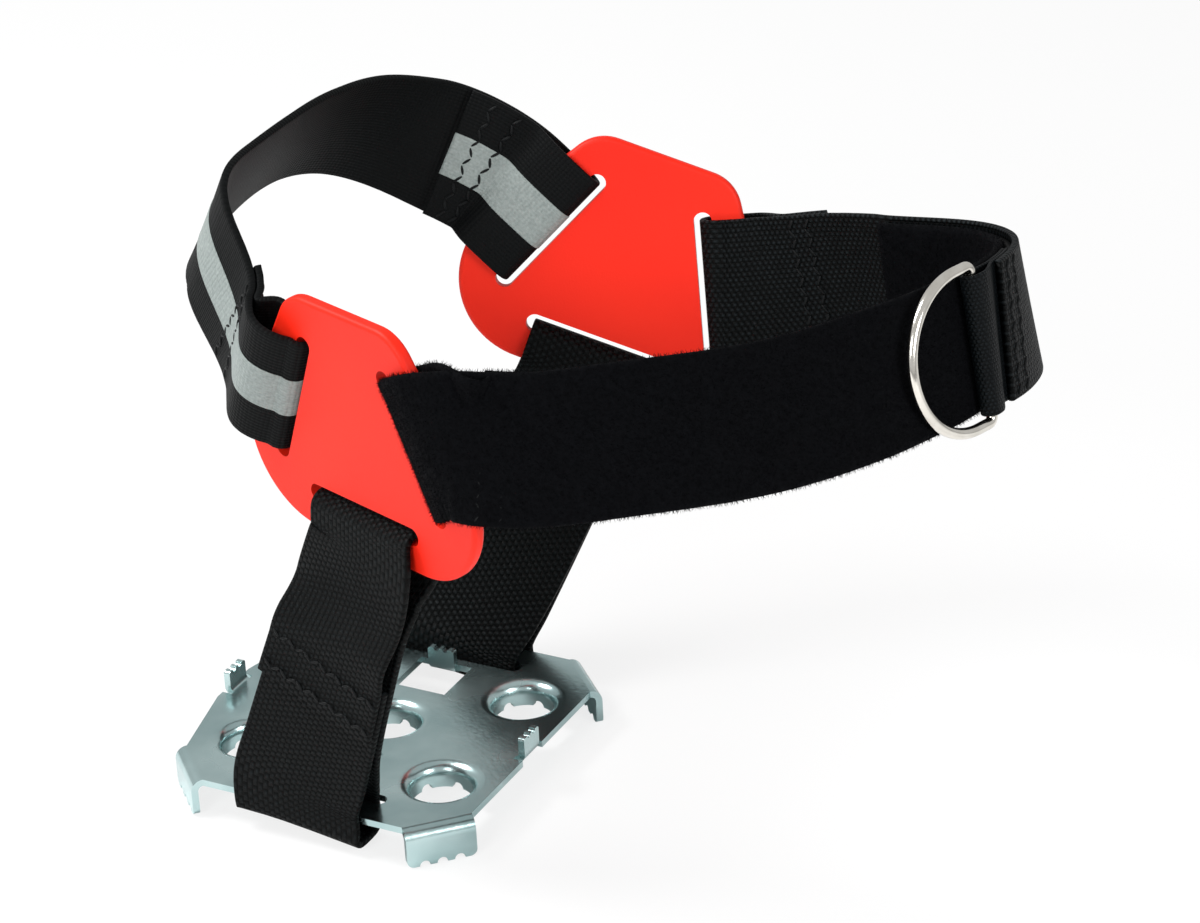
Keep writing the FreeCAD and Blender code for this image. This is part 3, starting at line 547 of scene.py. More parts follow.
def tab_stations():
    inner = LOOP_PILE / 2 + LAYER_GAP + TAB_TAPE / 2
    outer = inner + TAB_TAPE + TAB_LAYER_GAP
    stations = over_loop(TAB_ROOT_FROM_END, RING_FROM_END - ROLL_START, inner)
    centre, across, to_arc, outward = ring_frame()
    radius = RING_WIRE / 2 + RING_PLAY + TAB_TAPE / 2
    for angle in half_turn(ROLL_STEPS):
        reach = to_arc * (radius * math.cos(angle))
        stations.append((centre + reach + outward * (radius * math.sin(angle)), across))
    top = RING_LIFT + radius
    for back_off, share in ROLL_BACK:
        from_end = RING_FROM_END - back_off
        stations += over_loop(from_end, from_end, outer + (top - outer) * share)[:1]
    return stations + over_loop(FLAP_END_FROM_END + ROLL_START, TAB_ROOT_FROM_END, outer)


def webbing_ends(link, side):
    """Return the lower and upper ends of a side webbing's runs: outer, inner and width."""
    skew = math.radians(LOOP_SKEW)
    low_width = vec(0, math.cos(skew), -math.sin(skew))
    gap = LOOP_CLEARANCE + WEBBING / 2
    low_z = gap + STRAP_WIDTH / 2 * math.sin(skew)
    outer_low = vec(side * (PLATE_HALF_WIDTH + gap), 0, low_z)
    inner_low = vec(side * (PLATE_HALF_WIDTH - BAR_WIDTH - gap), 0, low_z)
    bulge = WEBBING_FOLD_RADIUS + FOLD_BULGE
    outer_top = link.at(0, -WEBBING_FOLD_END, bulge)
    inner_top = link.at(0, -WEBBING_FOLD_END, -bulge)
    return (outer_low, inner_low, low_width), (outer_top, inner_top, link.along)


def webbing_stations(link, side):
    """Return the stations of a side webbing, from the lap down, round both bars and back."""
    (outer_low, inner_low, low_width), (outer_top, inner_top, top_width) = webbing_ends(link, side)

    def between(low, high, share):
        return low + (high - low) * share, low_width * (1 - share) + top_width * share

    turn_z = LOOP_CORNER - SHEET - LOOP_CLEARANCE - WEBBING / 2 - LOOP_SLACK
    path = [between(outer_low, outer_top, share) for share in INNER_LAYER]
    for corner_of, inward, turns in ((outer_low, -side, OUTER_TURN), (inner_low, side, INNER_TURN)):
        centre = vec(corner_of[0] + inward * LOOP_CORNER, 0, turn_z)
        for angle in np.radians(turns):
            x = side * LOOP_CORNER * math.cos(angle)
            path.append((centre + vec(x, 0, -LOOP_CORNER * math.sin(angle)), low_width))
    for share, sag in INNER_RUN:
        inner, width = between(inner_low, inner_top, share)
        outer = between(outer_low, outer_top, share)[0]
        path.append((inner + (outer - inner) * sag, width))
    for angle in half_turn(FOLD_STEPS):
        up = WEBBING_FOLD_RADIUS * (math.cos(angle) - 1)
        path.append((link.at(0, up, WEBBING_FOLD_RADIUS * math.sin(angle)), top_width))
    path += [between(outer_low, outer_top, share) for share in OUTER_RUN]
    for share in OUTER_LAYER:
        point, width = between(outer_low, outer_top, share)
        path.append((point + link.out * WEBBING_LAYERS, width))
    return path


class Ribbon:
    """A strap's stations made dense: middle points, width directions and normals."""

    def __init__(self, stations, spacing):
        points = np.array([station[0] for station in stations])
        widths = np.array([unit(station[1]) for station in stations])
        self.distance, self.middle, width = self.dense(points, widths, spacing)
        tangent = np.gradient(self.middle, axis=0)
        tangent /= np.linalg.norm(tangent, axis=1)[:, None]
        width = width - tangent * np.sum(width * tangent, axis=1)[:, None]
        self.width = width / np.linalg.norm(width, axis=1)[:, None]
        self.normal = np.cross(tangent, self.width)

    @staticmethod
    def dense(points, widths, spacing):
        """Pass a centripetal curve through the points and sample it evenly."""
        ends = (2 * points[0] - points[1], 2 * points[-1] - points[-2])
        knots = np.vstack([ends[0], points, ends[1]])
        gaps = np.sqrt(np.linalg.norm(np.diff(knots, axis=0), axis=1))
        u = np.linspace(0, 1, CURVE_SAMPLES, endpoint=False)[:, None]
        rows, shares = [], []
        for index in range(1, len(knots) - 2):
            a, b, c, d = knots[index - 1 : index + 3]
            g0, g1, g2 = gaps[index - 1 : index + 2]
            leave = g1 * ((b - a) / g0 - (c - a) / (g0 + g1) + (c - b) / g1)
            arrive = g1 * ((c - b) / g1 - (d - b) / (g1 + g2) + (d - c) / g2)
            rows.append(cubic(b, leave, c, arrive, u))
            shares.append(index - 1 + u[:, 0])
        line = np.vstack(rows + [points[-1:]])
        share = np.concatenate(shares + [[len(points) - 1]])
        distance = travelled(line)
        even = np.linspace(0, distance[-1], max(3, round(distance[-1] / spacing) + 1))
        width = read_off(np.interp(even, distance, share), np.arange(len(points)), widths)
        return even, read_off(even, distance, line), width


def section(width, thickness, edge):
    """Return the outline of a strap's section with rounded edges: across and lift."""
    rise = thickness / 2
    flat = width / 2 - edge
    across = np.linspace(-flat, flat, max(2, round(2 * flat / FACE_SPACING)) + 1)
    rounding = []
    for turn in half_turn(EDGE_STEPS)[::-1][1:-1]:
        level = abs(math.sin(turn)) <= LEVEL
        lift = 0.0 if level else math.copysign(rise - edge, math.sin(turn))
        rounding.append((flat + edge * math.cos(turn), lift + edge * math.sin(turn)))
    rows = [(a, rise) for a in across] + rounding
    rows += [(a, -rise) for a in across[::-1]]
    return np.array(rows + [(-a, lift) for a, lift in rounding[::-1]])


def add_object(name, data):
    made = bpy.data.objects.new(name, data)
    bpy.context.scene.collection.objects.link(made)
    return made


def make_mesh(name, points, faces, uv=None):
    """Make an object at the origin from points in millimetres."""
    mesh = bpy.data.meshes.new(name)
    mesh.from_pydata((np.asarray(points) * MM).tolist(), [], faces)
    if uv is not None:
        layer = mesh.uv_layers.new(name="weave")
        index = np.zeros(len(mesh.loops), dtype=np.int32)
        mesh.loops.foreach_get("vertex_index", index)
        layer.data.foreach_set("uv", np.asarray(uv, dtype=np.float32)[index].ravel())
    mesh.polygons.foreach_set("use_smooth", [True] * len(mesh.polygons))
    mesh.update()
    return add_object(name, mesh)


def quads(rings, sides, closed=False):
    """Yield four corners at a time between rings: here, there, and the same one side on."""
    for ring in range(rings if closed else rings - 1):
        here, there = ring * sides, (ring + 1) % rings * sides
        for side in range(sides):
            following = (side + 1) % sides
            yield here + side, there + side, there + following, here + following


def band(name, ribbon, width, thickness, edge=EDGE_ROUND, lift=0.0):
    """Sweep a strap's section along its ribbon; uv holds millimetres along and across."""
    profile = section(width, thickness, min(edge, thickness / 2))
    rings, sides = len(ribbon.distance), len(profile)
    points = (
        ribbon.middle[:, None, :]
        + ribbon.width[:, None, :] * profile[None, :, :1]
        + ribbon.normal[:, None, :] * (profile[None, :, 1:] + lift)
    ).reshape(-1, 3)
    faces = list(quads(rings, sides))
    faces.append(tuple(range(sides)))
    last = (rings - 1) * sides
    faces.append(tuple(last + side for side in reversed(range(sides))))
    uv = np.zeros((rings * sides, 2))
    uv[:, 0] = np.repeat(ribbon.distance, sides)
    uv[:, 1] = np.tile(profile[:, 0], rings)
    return make_mesh(name, points, faces, uv)


def tube(name, points, radius, sides):
    """Sweep a round wire along a closed line of points in millimetres."""
    points = np.array(points)
    tangent = np.roll(points, -1, axis=0) - np.roll(points, 1, axis=0)
    tangent /= np.linalg.norm(tangent, axis=1)[:, None]
    binormal = unit(np.cross(points[1] - points[0], points[len(points) // 3] - points[0]))
    side = np.cross(tangent, binormal)
    side /= np.linalg.norm(side, axis=1)[:, None]
    turns = np.linspace(0, 2 * math.pi, sides, endpoint=False)
    rings = (
        points[:, None, :]
        + side[:, None, :] * (radius * np.cos(turns))[None, :, None]
        + binormal[None, None, :] * (radius * np.sin(turns))[None, :, None]
    ).reshape(-1, 3)
    faces = [(a, d, c, b) for a, b, c, d in quads(len(points), sides, closed=True)]
    return make_mesh(name, rings, faces)


def add_node(tree, kind, values=(), **settings):
    """Add a node, set its properties, and fill or link its inputs by number or name."""
    made = tree.nodes.new(kind)
    for key, value in settings.items():
        setattr(made, key, value)
    pairs = values.items() if isinstance(values, dict) else enumerate(values)
    for key, value in pairs:
        if isinstance(value, Sock):
            value = value.value
        if isinstance(value, bpy.types.NodeSocket):
            tree.links.new(value, made.inputs[key])
        else:
            made.inputs[key].default_value = value
    return made


class Sock:
    """A shader value that arithmetic turns into nodes."""

    def __init__(self, shader, value):
        self.shader = shader
        self.value = value

    def math(self, operation, *others):
        return self.shader.node("ShaderNodeMath", (self, *others), operation=operation)

    def __add__(self, other):
        return self.math("ADD", other)

    def __mul__(self, other):
        return self.math("MULTIPLY", other)

    def __truediv__(self, other):
        return self.math("DIVIDE", other)

    def whole(self):
        return self.math("FLOOR")

    def power(self, other):
        return self.math("POWER", other)

    def wave(self):
        """Return the size of the value's sine, which rises once in each half turn."""
        return self.math("SINE").math("ABSOLUTE")


class Shader:
    """Builds one Principled material out of procedural nodes."""

    def __init__(self, name, **constants):
        self.material = bpy.data.materials.new(name)
        self.material.use_nodes = True
        self.tree = self.material.node_tree
        self.surface = self.tree.nodes["Principled BSDF"]
        for key, value in constants.items():
            self.surface.inputs[key.replace("_", " ")].default_value = value

    def node(self, kind, values=(), output=0, **settings):
        return Sock(self, add_node(self.tree, kind, values, **settings).outputs[output])

    def weave(self):
        """Return the strap's own coordinates in millimetres: along it and across it."""
        uv = self.node("ShaderNodeUVMap", output="UV", uv_map="weave")
        split = add_node(self.tree, "ShaderNodeSeparateXYZ", (uv,))
        return Sock(self, split.outputs[0]), Sock(self, split.outputs[1])

    def noise(self, scale, detail):
        where = self.node("ShaderNodeTexCoord", output="Object")
        values = {"Vector": where, "Scale": scale, "Detail": detail, "Roughness": 0.5}
        return self.node("ShaderNodeTexNoise", values)

    def span(self, value, low, high, to_low, to_high):
        return self.node("ShaderNodeMapRange", (value, low, high, to_low, to_high))

    def bump(self, height, depth):
        values = {"Strength": 1.0, "Distance": depth, "Height": height}
        self.set("Normal", self.node("ShaderNodeBump", values))

    def colour(self, share, low, high):
        """Blend the base colour between two screen colours."""
        values = {0: share, 6: hue(low), 7: hue(high)}
        mixed = self.node("ShaderNodeMix", values, output=2, data_type="RGBA")
        self.set("Base Color", mixed)

    def set(self, name, value):
        self.tree.links.new(value.value, self.surface.inputs[name])


def hue(hex_code):
    """Turn a screen colour such as ff8800 into the linear colour that shaders take."""
    channels = [int(hex_code[i : i + 2], 16) / 255 for i in (0, 2, 4)]
    linear = [c / 12.92 if c <= 0.04045 else ((c + 0.055) / 1.055) ** 2.4 for c in channels]
    return (*linear, 1.0)


def zinc_material():
    shader = Shader("zinc_plated_steel", Metallic=1.0)
    cloud = shader.noise(scale=45.0, detail=3.0)
    fine = shader.noise(scale=900.0, detail=2.0)
    shader.colour(cloud, "6f9396", "dcefee")
    shader.set("Roughness", shader.span(cloud, 0.3, 0.7, to_low=0.2, to_high=0.3))
    shader.bump(fine * 0.4 + cloud, depth=0.00007)
    return shader.material


def plastic_material():
    shader = Shader("orange_plastic", Roughness=0.5, Specular_IOR_Level=0.22)
    cloud = shader.noise(scale=30.0, detail=1.0)
    shader.colour(cloud, "e61f0d", "f22b12")
    shader.bump(shader.noise(scale=2600.0, detail=1.5), depth=0.00004)
    return shader.material


def cloth(name, rough, gloss):
    return Shader(name, Roughness=rough, Specular_IOR_Level=gloss)


def webbing_material(name, colours, pitch, column, depth):
    """Plain weave: ribs across the strap, staggered from one warp column to the next; the rib tops
    carry a painted thread highlight.
    """
    shader = cloth(name, rough=0.5, gloss=0.07)
    along, across = shader.weave()
    parity = (across / column).whole() * 0.5
    rib = ((along / pitch + parity) * math.pi).wave()
    furrow = ((across / column) * math.pi).wave()
    fine = shader.noise(scale=3500.0, detail=1.0)
    shader.bump(rib * 0.7 + furrow.power(0.5) * 0.5 + fine * 0.3, depth)
    tone = shader.noise(scale=350.0, detail=2.0)
    # Painted highlight: the lighter second colour sits on the rib tops where furrows cross,
    # standing in for light glinting on the threads
    shader.colour((rib * furrow).power(3.0) * tone, *colours)
    return shader.material


def ribbed_material(name, colours, rough, gloss, cord_pitch, fineness):
    """Fine ribs across a band, with cords that run along it."""
    shader = cloth(name, rough, gloss)
    along, across = shader.weave()
    rib = ((along / RIB_PITCH) * math.pi).wave()
    cord = ((across / cord_pitch) * math.pi).wave()
    fine = shader.noise(fineness, detail=2.0)
    shader.bump(rib * 0.5 + cord * 0.5 + fine * 0.4, depth=0.00014)
    shader.colour(fine, *colours)
    return shader.material


def pile_material():
    shader = cloth("loop_pile", rough=0.9, gloss=0.06)
    tuft = shader.noise(scale=900.0, detail=3.0)
    clump = shader.noise(scale=160.0, detail=2.0)
    shader.bump(tuft + clump * 0.6, depth=0.0005)
    shader.colour(tuft, "010102", "090a0d")
    return shader.material


def hook_material():
    shader = cloth("hook_tape", rough=0.6, gloss=0.12)
    along, across = shader.weave()
    hooks = (along * HOOKS_ALONG).wave() * (across * HOOKS_ACROSS).wave()
    shader.bump(hooks, depth=0.0004)
    # Painted highlight: the hooks' tops are blended towards the lighter colour, standing in for
    # light catching the hooks
    shader.colour(hooks.power(3.0), "020303", "2b3134")
    return shader.material


def thread_material():
    shader = cloth("black_thread", rough=0.5, gloss=0.15)
    twist = shader.noise(scale=5000.0, detail=1.0)
    shader.bump(twist, depth=0.00008)
    shader.colour(twist, "030405", "0c0f10")
    return shader.material


def nickel_material():
    shader = Shader("nickel_plate", Metallic=1.0, Roughness=0.13)
    shader.colour(shader.noise(scale=300.0, detail=2.0), "cfcac0", "efece5")
    return shader.material


ZINC = zinc_material()
PLASTIC = plastic_material()
# The second colour of each webbing is the painted thread highlight on its rib tops
WEBBING_MATERIAL = webbing_material(
    "black_webbing", ("020303", "1b2022"), pitch=1.45, column=1.25, depth=0.0004
)
HOOK_STRAP_MATERIAL = webbing_material(
    "hook_webbing", ("020303", "262c2f"), pitch=1.3, column=1.1, depth=0.0003
)
TAB_MATERIAL = webbing_material(
    "tab_webbing", ("030506", "1c2226"), pitch=0.9, column=0.8, depth=0.00018
)
ELASTIC_MATERIAL = ribbed_material(
    "elastic_weave", ("020303", "0b0d0e"), rough=0.6, gloss=0.08, cord_pitch=0.8, fineness=3000.0
)
STRIPE_MATERIAL = ribbed_material(
    "reflective_weave", ("6d7674", "9aa3a0"), rough=0.5, gloss=0.3, cord_pitch=0.7, fineness=1400.0
)
PILE_MATERIAL = pile_material()
HOOK_TAPE_MATERIAL = hook_material()
THREAD_MATERIAL = thread_material()
NICKEL = nickel_material()


def finish_piece(piece, material, body, nodes, bend=None):
    """Give a piece its material and hide the CAD nodes it stands for; without a bend it goes on its
    body, and with one its transform is baked in.
    """
    piece.data.materials.clear()
    piece.data.materials.append(material)
    if bend is None:
        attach(piece, body)
    else:
        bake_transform(piece)
    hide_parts(*nodes)


class Growth:
    """A tree of geometry nodes with named inputs, run once on a seed mesh."""

    def __init__(self, name, **sizes):
        self.tree = bpy.data.node_groups.new(name, "GeometryNodeTree")
        face = self.tree.interface
        face.new_socket(name="Geometry", in_out="INPUT", socket_type="NodeSocketGeometry")
        face.new_socket(name="Geometry", in_out="OUTPUT", socket_type="NodeSocketGeometry")
        self.sizes = {}
        for key, value in sizes.items():
            kind = "NodeSocketInt" if isinstance(value, int) else "NodeSocketFloat"
            socket = face.new_socket(name=key, in_out="INPUT", socket_type=kind)
            self.sizes[socket.identifier] = value
        self.entry = self.tree.nodes.new("NodeGroupInput")

    def size(self, name):
        return self.entry.outputs[name]

    def node(self, kind, values, **settings):
        return add_node(self.tree, kind, values, **settings).outputs[0]

    def grow(self, seed, instances, material, name):
        """Realize the instances on the seed object and return them as one plain mesh object."""
        real = self.node("GeometryNodeRealizeInstances", {"Geometry": instances})
        smooth = self.node("GeometryNodeSetShadeSmooth", {"Geometry": real})
        dressed = self.node("GeometryNodeSetMaterial", {"Geometry": smooth, "Material": material})
        leave = self.tree.nodes.new("NodeGroupOutput")
        self.tree.links.new(dressed, leave.inputs[0])
        modifier = seed.modifiers.new(name, "NODES")
        modifier.node_group = self.tree
        for identifier, value in self.sizes.items():
            modifier[identifier] = value
        grown = seed.evaluated_get(bpy.context.evaluated_depsgraph_get())
        mesh = bpy.data.meshes.new_from_object(grown)
        seed.modifiers.remove(modifier)
        return add_object(name, mesh)


def seed_object(points, directions):
    """Return a mesh of loose points (mm) that carry named directions."""
    mesh = bpy.data.meshes.new("seed")
    mesh.from_pydata((np.asarray(points) * MM).tolist(), [], [])
    for name, vectors in directions.items():
        layer = mesh.attributes.new(name, "FLOAT_VECTOR", "POINT")
        layer.data.foreach_set("vector", np.asarray(vectors, dtype=np.float32).ravel())
    return add_object("seed", mesh)


def stitches(name, frames, low, high, body, node):
    """Sew a zigzag row at each frame of the seam, on both faces of the layers."""
    points, along, outward = [], [], []
    turn = math.radians(STITCH_TURN)
    for middle, across, normal in frames:
        forward = np.cross(normal, across)
        for index in range(STITCHES_IN_ROW):
            share = (index + 0.5) / STITCHES_IN_ROW - 0.5
            lean = turn if index % 2 else -turn
            way = across * math.cos(lean) + forward * math.sin(lean)
            for lift, side in ((low, -1), (high, 1)):
                points.append(middle + across * (share * SEAM_WIDTH) + normal * lift)
                along.append(way)
                outward.append(normal * side)
    seed = seed_object(points, {"along": along, "outward": outward})
    growth = Growth(name, Length=STITCH_LENGTH * MM, Radius=STITCH_RADIUS * MM)

    def stored(key):
        values = {"Name": key}
        return growth.node("GeometryNodeInputNamedAttribute", values, data_type="FLOAT_VECTOR")

    half = growth.node("ShaderNodeMath", (growth.size("Length"), 0.5), operation="MULTIPLY")
    radius = growth.size("Radius")
    shape = growth.node("ShaderNodeCombineXYZ", (half, radius, radius))
    bead = growth.node(
        "GeometryNodeMeshUVSphere",
        {"Segments": STITCH_SEGMENTS, "Rings": STITCH_RINGS, "Radius": 1.0},
    )
    thread = growth.node("GeometryNodeTransform", {"Geometry": bead, "Scale": shape})
    lying = growth.node("FunctionNodeAlignRotationToVector", {"Vector": stored("along")}, axis="X")
    facing = growth.node(
        "FunctionNodeAlignRotationToVector",
        {"Rotation": lying, "Vector": stored("outward")},
        axis="Z",
        pivot_axis="X",
    )
    rows = growth.node(
        "GeometryNodeInstanceOnPoints",
        {"Points": growth.size("Geometry"), "Instance": thread, "Rotation": facing},
    )
    piece = growth.grow(seed, rows, THREAD_MATERIAL, name)
    bpy.data.objects.remove(seed)
    finish_piece(piece, THREAD_MATERIAL, body, [node])


def pile(name, strap, body, node):
    """Grow the loop pile's short fibres all over a strap."""
    growth = Growth(
        name,
        Density=FIBRE_DENSITY,
        Length=FIBRE_LENGTH * MM,
        Radius=FIBRE_RADIUS * MM,
        Seed=FIBRE_SEED,
    )
    cone = growth.node(
        "GeometryNodeMeshCone",
        {
            "Vertices": FIBRE_SIDES,
            "Radius Top": 0.0,
            "Radius Bottom": growth.size("Radius"),
            "Depth": growth.size("Length"),
        },
        fill_type="NONE",
    )
    scatter = add_node(
        growth.tree,
        "GeometryNodeDistributePointsOnFaces",
        {
            "Mesh": growth.size("Geometry"),
            "Density": growth.size("Density"),
            "Seed": growth.size("Seed"),
        },
    ).outputs
    lean = growth.node(
        "FunctionNodeRandomValue",
        {
            "Min": (-FIBRE_LEAN, -FIBRE_LEAN, 0.0),
            "Max": (FIBRE_LEAN, FIBRE_LEAN, FIBRE_SPIN),
            "Seed": growth.size("Seed"),
        },
        data_type="FLOAT_VECTOR",
    )
    tilt = growth.node("FunctionNodeEulerToRotation", {"Euler": lean})
    turned = growth.node(
        "FunctionNodeRotateRotation",
        {"Rotation": scatter["Rotation"], "Rotate By": tilt},
        rotation_space="LOCAL",
    )
    hairs = growth.node(
        "GeometryNodeInstanceOnPoints",
        {"Points": scatter["Points"], "Instance": cone, "Rotation": turned},
    )
    piece = growth.grow(strap, hairs, PILE_MATERIAL, name)
    finish_piece(piece, PILE_MATERIAL, body, [node])


def seam_frames(route, distance):
    """Return middle, width and normal of a seam's two rows on a route."""
    frames = []
    for row in (-0.5, 0.5):
        place = distance + row * SEAM_ROW_STEP
        middle, across = route.station(place)
        frames.append((middle, across, route.normal(place)))
    return frames


def seam_lifts(offset, reach):
    """Return how far threads lie off a strap, whose second layer lies at the offset."""
    return min(offset, 0) - reach, max(offset, 0) + reach


def carry_over(node, material):
    """Show a CAD node as it is, with a procedural material."""
    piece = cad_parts[node]
    piece.data.materials.clear()
    piece.data.materials.append(material)


def side_seam_frames(link, side):
    """Return middle, width and normal of the rows across a side webbing's lap."""
    (low, _, low_width), (top, _, top_width) = webbing_ends(link, side)
    run = top - low
    frames = []
    for row in (-1, 1):
        share = (WEBBING_LAP_LOW + WEBBING_LAP_HIGH) / 2
        share += row * SEAM_ROW_STEP / np.linalg.norm(run)
        width = low_width * (1 - share) + top_width * share
        width = unit(width - unit(run) * np.dot(width, unit(run)))
        normal = np.cross(unit(run), width)
        normal = normal if np.dot(normal, link.out) > 0 else -normal
        frames.append((low + run * share, width, normal))
    return frames


def add_side_webbing():
    for name, link, side in (("right", RIGHT_LINK, 1), ("left", LEFT_LINK, -1)):
        ribbon = Ribbon(webbing_stations(link, side), WEBBING_SPACING)
        piece = band(name + "_webbing_piece", ribbon, STRAP_WIDTH, WEBBING)
        body = name + "_webbing"
        finish_piece(piece, WEBBING_MATERIAL, body, [name + "_side_webbing"])
        stitches(
            name + "_webbing_seam", side_seam_frames(link, side),
            -WEBBING / 2, WEBBING_LAYERS + WEBBING / 2, body, name + "_webbing_stitches",
        )


def add_elastic():
    ribbon = Ribbon(elastic_stations(), ELASTIC_SPACING)
    line = ELASTIC_LINE
    ends = []
    for reach in (ELASTIC_ARM_START, ELASTIC_ARM_END):
        right, left = line.station(reach)[0], line.station(line.length - reach)[0]
        ends.append((0.0, (right[1] + left[1]) / 2 * MM, 0.0))
    bend = ("harness", "elastic_back", *ends)
    parts = ("right_end", "right_arm", "back", "left_arm", "left_end")
    piece = band("elastic_band", ribbon, STRAP_WIDTH, ELASTIC)
    nodes = ["elastic_" + part for part in parts]
    finish_piece(piece, ELASTIC_MATERIAL, None, nodes, bend)
    lift = ELASTIC_OUT * ELASTIC / 2
    stripe = band("reflective_stripe", ribbon, STRIPE_WIDTH, STRIPE, STRIPE_EDGE_ROUND, lift)
    nodes = ["reflective_stripe_" + part for part in parts]
    finish_piece(stripe, STRIPE_MATERIAL, None, nodes, bend)
    lifts = seam_lifts(-ELASTIC_OUT * ELASTIC_LAYERS, ELASTIC / 2)
    for name, place in (("right", SEAM_PLACE), ("left", line.length - SEAM_PLACE)):
        stitches(
            f"elastic_{name}_seam", seam_frames(line, place), *lifts,
            "harness", f"elastic_{name}_stitches",
        )


def add_loop_strap():
    ribbon = Ribbon(loop_strap_stations(), LOOP_SPACING)
    piece = band("loop_strap_piece", ribbon, STRAP_WIDTH, LOOP_PILE, LOOP_EDGE_ROUND)
    pile("loop_strap_fibres", piece, "harness", "loop_strap")
    finish_piece(piece, PILE_MATERIAL, "harness", ["loop_strap"])
    lifts = seam_lifts(-LOOP_OUT * LOOP_LAYERS, LOOP_PILE / 2 - STITCH_RADIUS)
    stitches(
        "loop_strap_seam", seam_frames(LOOP_LINE, SEAM_PLACE), *lifts,
        "harness", "loop_strap_stitches",
    )


def add_hook_strap():
    ribbon = Ribbon(hook_strap_stations(), HOOK_SPACING)
    piece = band("hook_strap_piece", ribbon, STRAP_WIDTH, WEBBING)
    hinge = over_loop(HINGE_FROM_END, HINGE_FROM_END, CLOSED_OFFSET)[0][0]
    way = -LOOP_LINE.tangent(LOOP_LINE.length - HINGE_FROM_END) * HINGE_REACH
    bend = ("harness", "strap_end", (hinge - way) * MM, (hinge + way) * MM)
    nodes = ["hook_strap", "hook_strap_end"]
    finish_piece(piece, HOOK_STRAP_MATERIAL, None, nodes, bend)
    lifts = seam_lifts(HOOK_OUT * WEBBING_LAYERS, WEBBING / 2)
    stitches(
        "hook_strap_seam", seam_frames(HOOK_LINE, SEAM_PLACE), *lifts,
        "harness", "hook_strap_stitches",
    )
    tape = HOOK_TAPE - TAPE_GAP
    lift = LOOP_PILE / 2 + LAYER_GAP + tape / 2
    front = over_loop(HINGE_FROM_END + HINGE_GAP, PATCH_END_FROM_END, lift)
    piece = band("hook_patch_piece", Ribbon(front, TAPE_SPACING), PATCH_WIDTH, tape)
    finish_piece(piece, HOOK_TAPE_MATERIAL, "strap_end", ["hook_patch"])
    rear = over_loop(0.0, HINGE_FROM_END, lift)
    piece = band("hook_patch_rear_piece", Ribbon(rear, TAPE_SPACING), PATCH_WIDTH, tape)
    finish_piece(piece, HOOK_TAPE_MATERIAL, "harness", ["hook_patch_rear"])


def ring_line():
    """Return the D-ring's middle line: distance from its bar, and across."""
    straight = RING_HALF - RING_CORNER
    leg = RING_DEPTH - RING_HALF
    corner = []
    for turn in np.radians(np.linspace(0, 90, RING_CORNER_POINTS))[1:]:
        corner.append((RING_CORNER * (1 - math.cos(turn)), straight + RING_CORNER * math.sin(turn)))
    line = [(0.0, y) for y in np.linspace(-straight, straight, RING_BAR_POINTS)] + corner
    for turn in half_turn(RING_ARC_POINTS - 1)[::-1]:
        line.append((leg + RING_HALF * math.cos(turn), RING_HALF * math.sin(turn)))
    return line + [(x, -y) for x, y in corner[::-1]]


def add_ring():
    ribbon = Ribbon(tab_stations(), TAB_SPACING)
    piece = band("ring_tab", ribbon, STRAP_WIDTH, TAB_TAPE, TAB_EDGE_ROUND)
    finish_piece(piece, TAB_MATERIAL, "strap_end", ["d_ring_tab"])
    tab_place = LOOP_LINE.length - (FLAP_END_FROM_END + TAB_ROOT_FROM_END) / 2
    frames = [(m, a, n * LOOP_OUT) for m, a, n in seam_frames(LOOP_LINE, tab_place)]
    stitches(
        "ring_tab_seam", frames, LOOP_PILE / 2 + LAYER_GAP + TAB_STITCH_SINK,
        CLOSED_OFFSET + WEBBING / 2, "strap_end", "d_ring_tab_stitches",
    )
    centre, across, to_arc, outward = ring_frame()
    swing = math.radians(RING_SWING)
    to_arc = to_arc * math.cos(swing) + outward * math.sin(swing)
    points = [centre + to_arc * x + across * y for x, y in ring_line()]
    piece = tube("d_ring_piece", points, RING_WIRE / 2, RING_SIDES)
    finish_piece(piece, NICKEL, "d_ring", ["d_ring"])


def add_light(name, place, size, power):
    """Add a round lamp that faces the part."""
    data = bpy.data.lights.new(name, "AREA")
    data.shape = "DISK"
    data.size = size
    data.energy = power
    light = add_object(name, data)
    light.location = place
    light.rotation_mode = "QUATERNION"
    light.rotation_quaternion = (Vector(LIGHT_TARGET) - Vector(place)).to_track_quat("-Z", "Y")


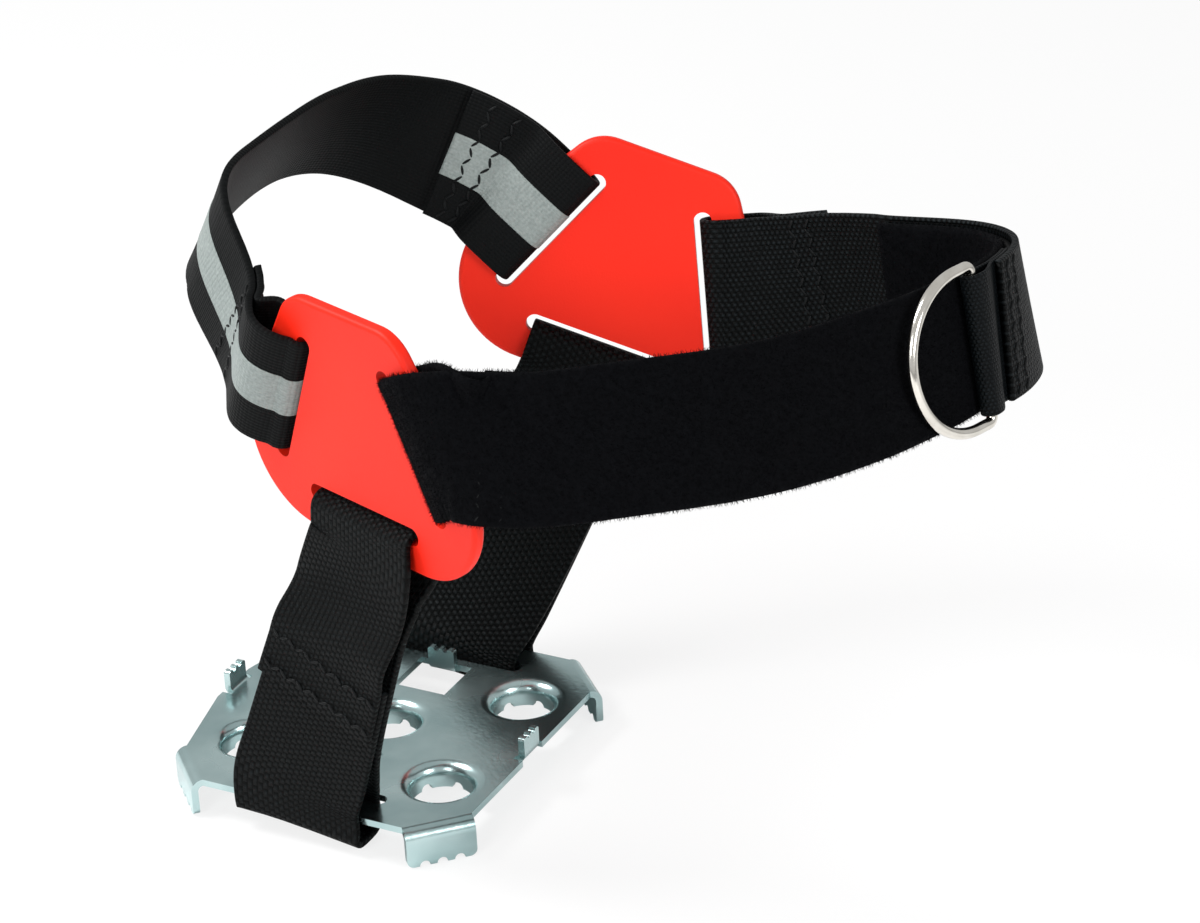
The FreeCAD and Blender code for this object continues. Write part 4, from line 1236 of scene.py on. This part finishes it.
def add_world():
    """White to the camera, dimmer in mirrors, and dimmer still as a light."""
    world = bpy.data.worlds.new("studio")
    bpy.context.scene.world = world
    world.use_nodes = True
    tree = world.node_tree
    background = tree.nodes["Background"]
    rays = add_node(tree, "ShaderNodeLightPath").outputs
    values = {0: rays["Is Glossy Ray"], 2: WORLD_LIGHT, 3: WORLD_GLOSS}
    strength = add_node(tree, "ShaderNodeMix", values).outputs[0]
    values = {0: rays["Is Camera Ray"], 2: strength, 3: 1.0}
    strength = add_node(tree, "ShaderNodeMix", values).outputs[0]
    tree.links.new(strength, background.inputs["Strength"])
    background.inputs["Color"].default_value = WHITE


def add_floor():
    """A pale floor with a glow to the camera, so that it keeps only a faint shadow."""
    mesh = bpy.data.meshes.new("floor")
    corners = []
    for x, y in ((-1, -1), (1, -1), (1, 1), (-1, 1)):
        corners.append((x * FLOOR_REACH, y * FLOOR_REACH, cad_low.z - FLOOR_GAP))
    mesh.from_pydata(corners, [], [(0, 1, 2, 3)])
    floor = add_object("floor", mesh)
    grey = (FLOOR_GREY, FLOOR_GREY, FLOOR_GREY, 1.0)
    shader = Shader("floor", Base_Color=grey, Roughness=1.0, Specular_IOR_Level=0.0)
    glow = shader.node("ShaderNodeEmission", {"Color": WHITE})
    to_camera = shader.node("ShaderNodeLightPath", output="Is Camera Ray")
    values = (to_camera * FLOOR_GLOW, shader.surface.outputs[0], glow)
    mix = add_node(shader.tree, "ShaderNodeMixShader", values)
    surface = shader.tree.nodes["Material Output"].inputs["Surface"]
    shader.tree.links.new(mix.outputs[0], surface)
    mesh.materials.append(shader.material)


def add_camera():
    data = bpy.data.cameras.new("photo_view")
    data.sensor_width = SENSOR_WIDTH
    data.lens = CAMERA_LENS
    camera = add_object("photo_view", data)
    camera.location = CAMERA_PLACE
    camera.rotation_mode = "QUATERNION"
    look = (CAMERA_TARGET - CAMERA_PLACE).to_track_quat("-Z", "Y")
    roll = Matrix.Rotation(math.radians(CAMERA_ROLL), 4, "Z").to_quaternion()
    camera.rotation_quaternion = look @ roll
    bpy.context.scene.camera = camera


carry_over("heel_plate", ZINC)
carry_over("right_link_plate", PLASTIC)
carry_over("left_link_plate", PLASTIC)
add_side_webbing()
add_elastic()
add_loop_strap()
add_hook_strap()
add_ring()
add_world()
add_floor()
for name, (place, size, power) in LIGHTS.items():
    add_light(name, place, size, power)
add_camera()
bpy.context.scene.view_settings.view_transform = "Standard"
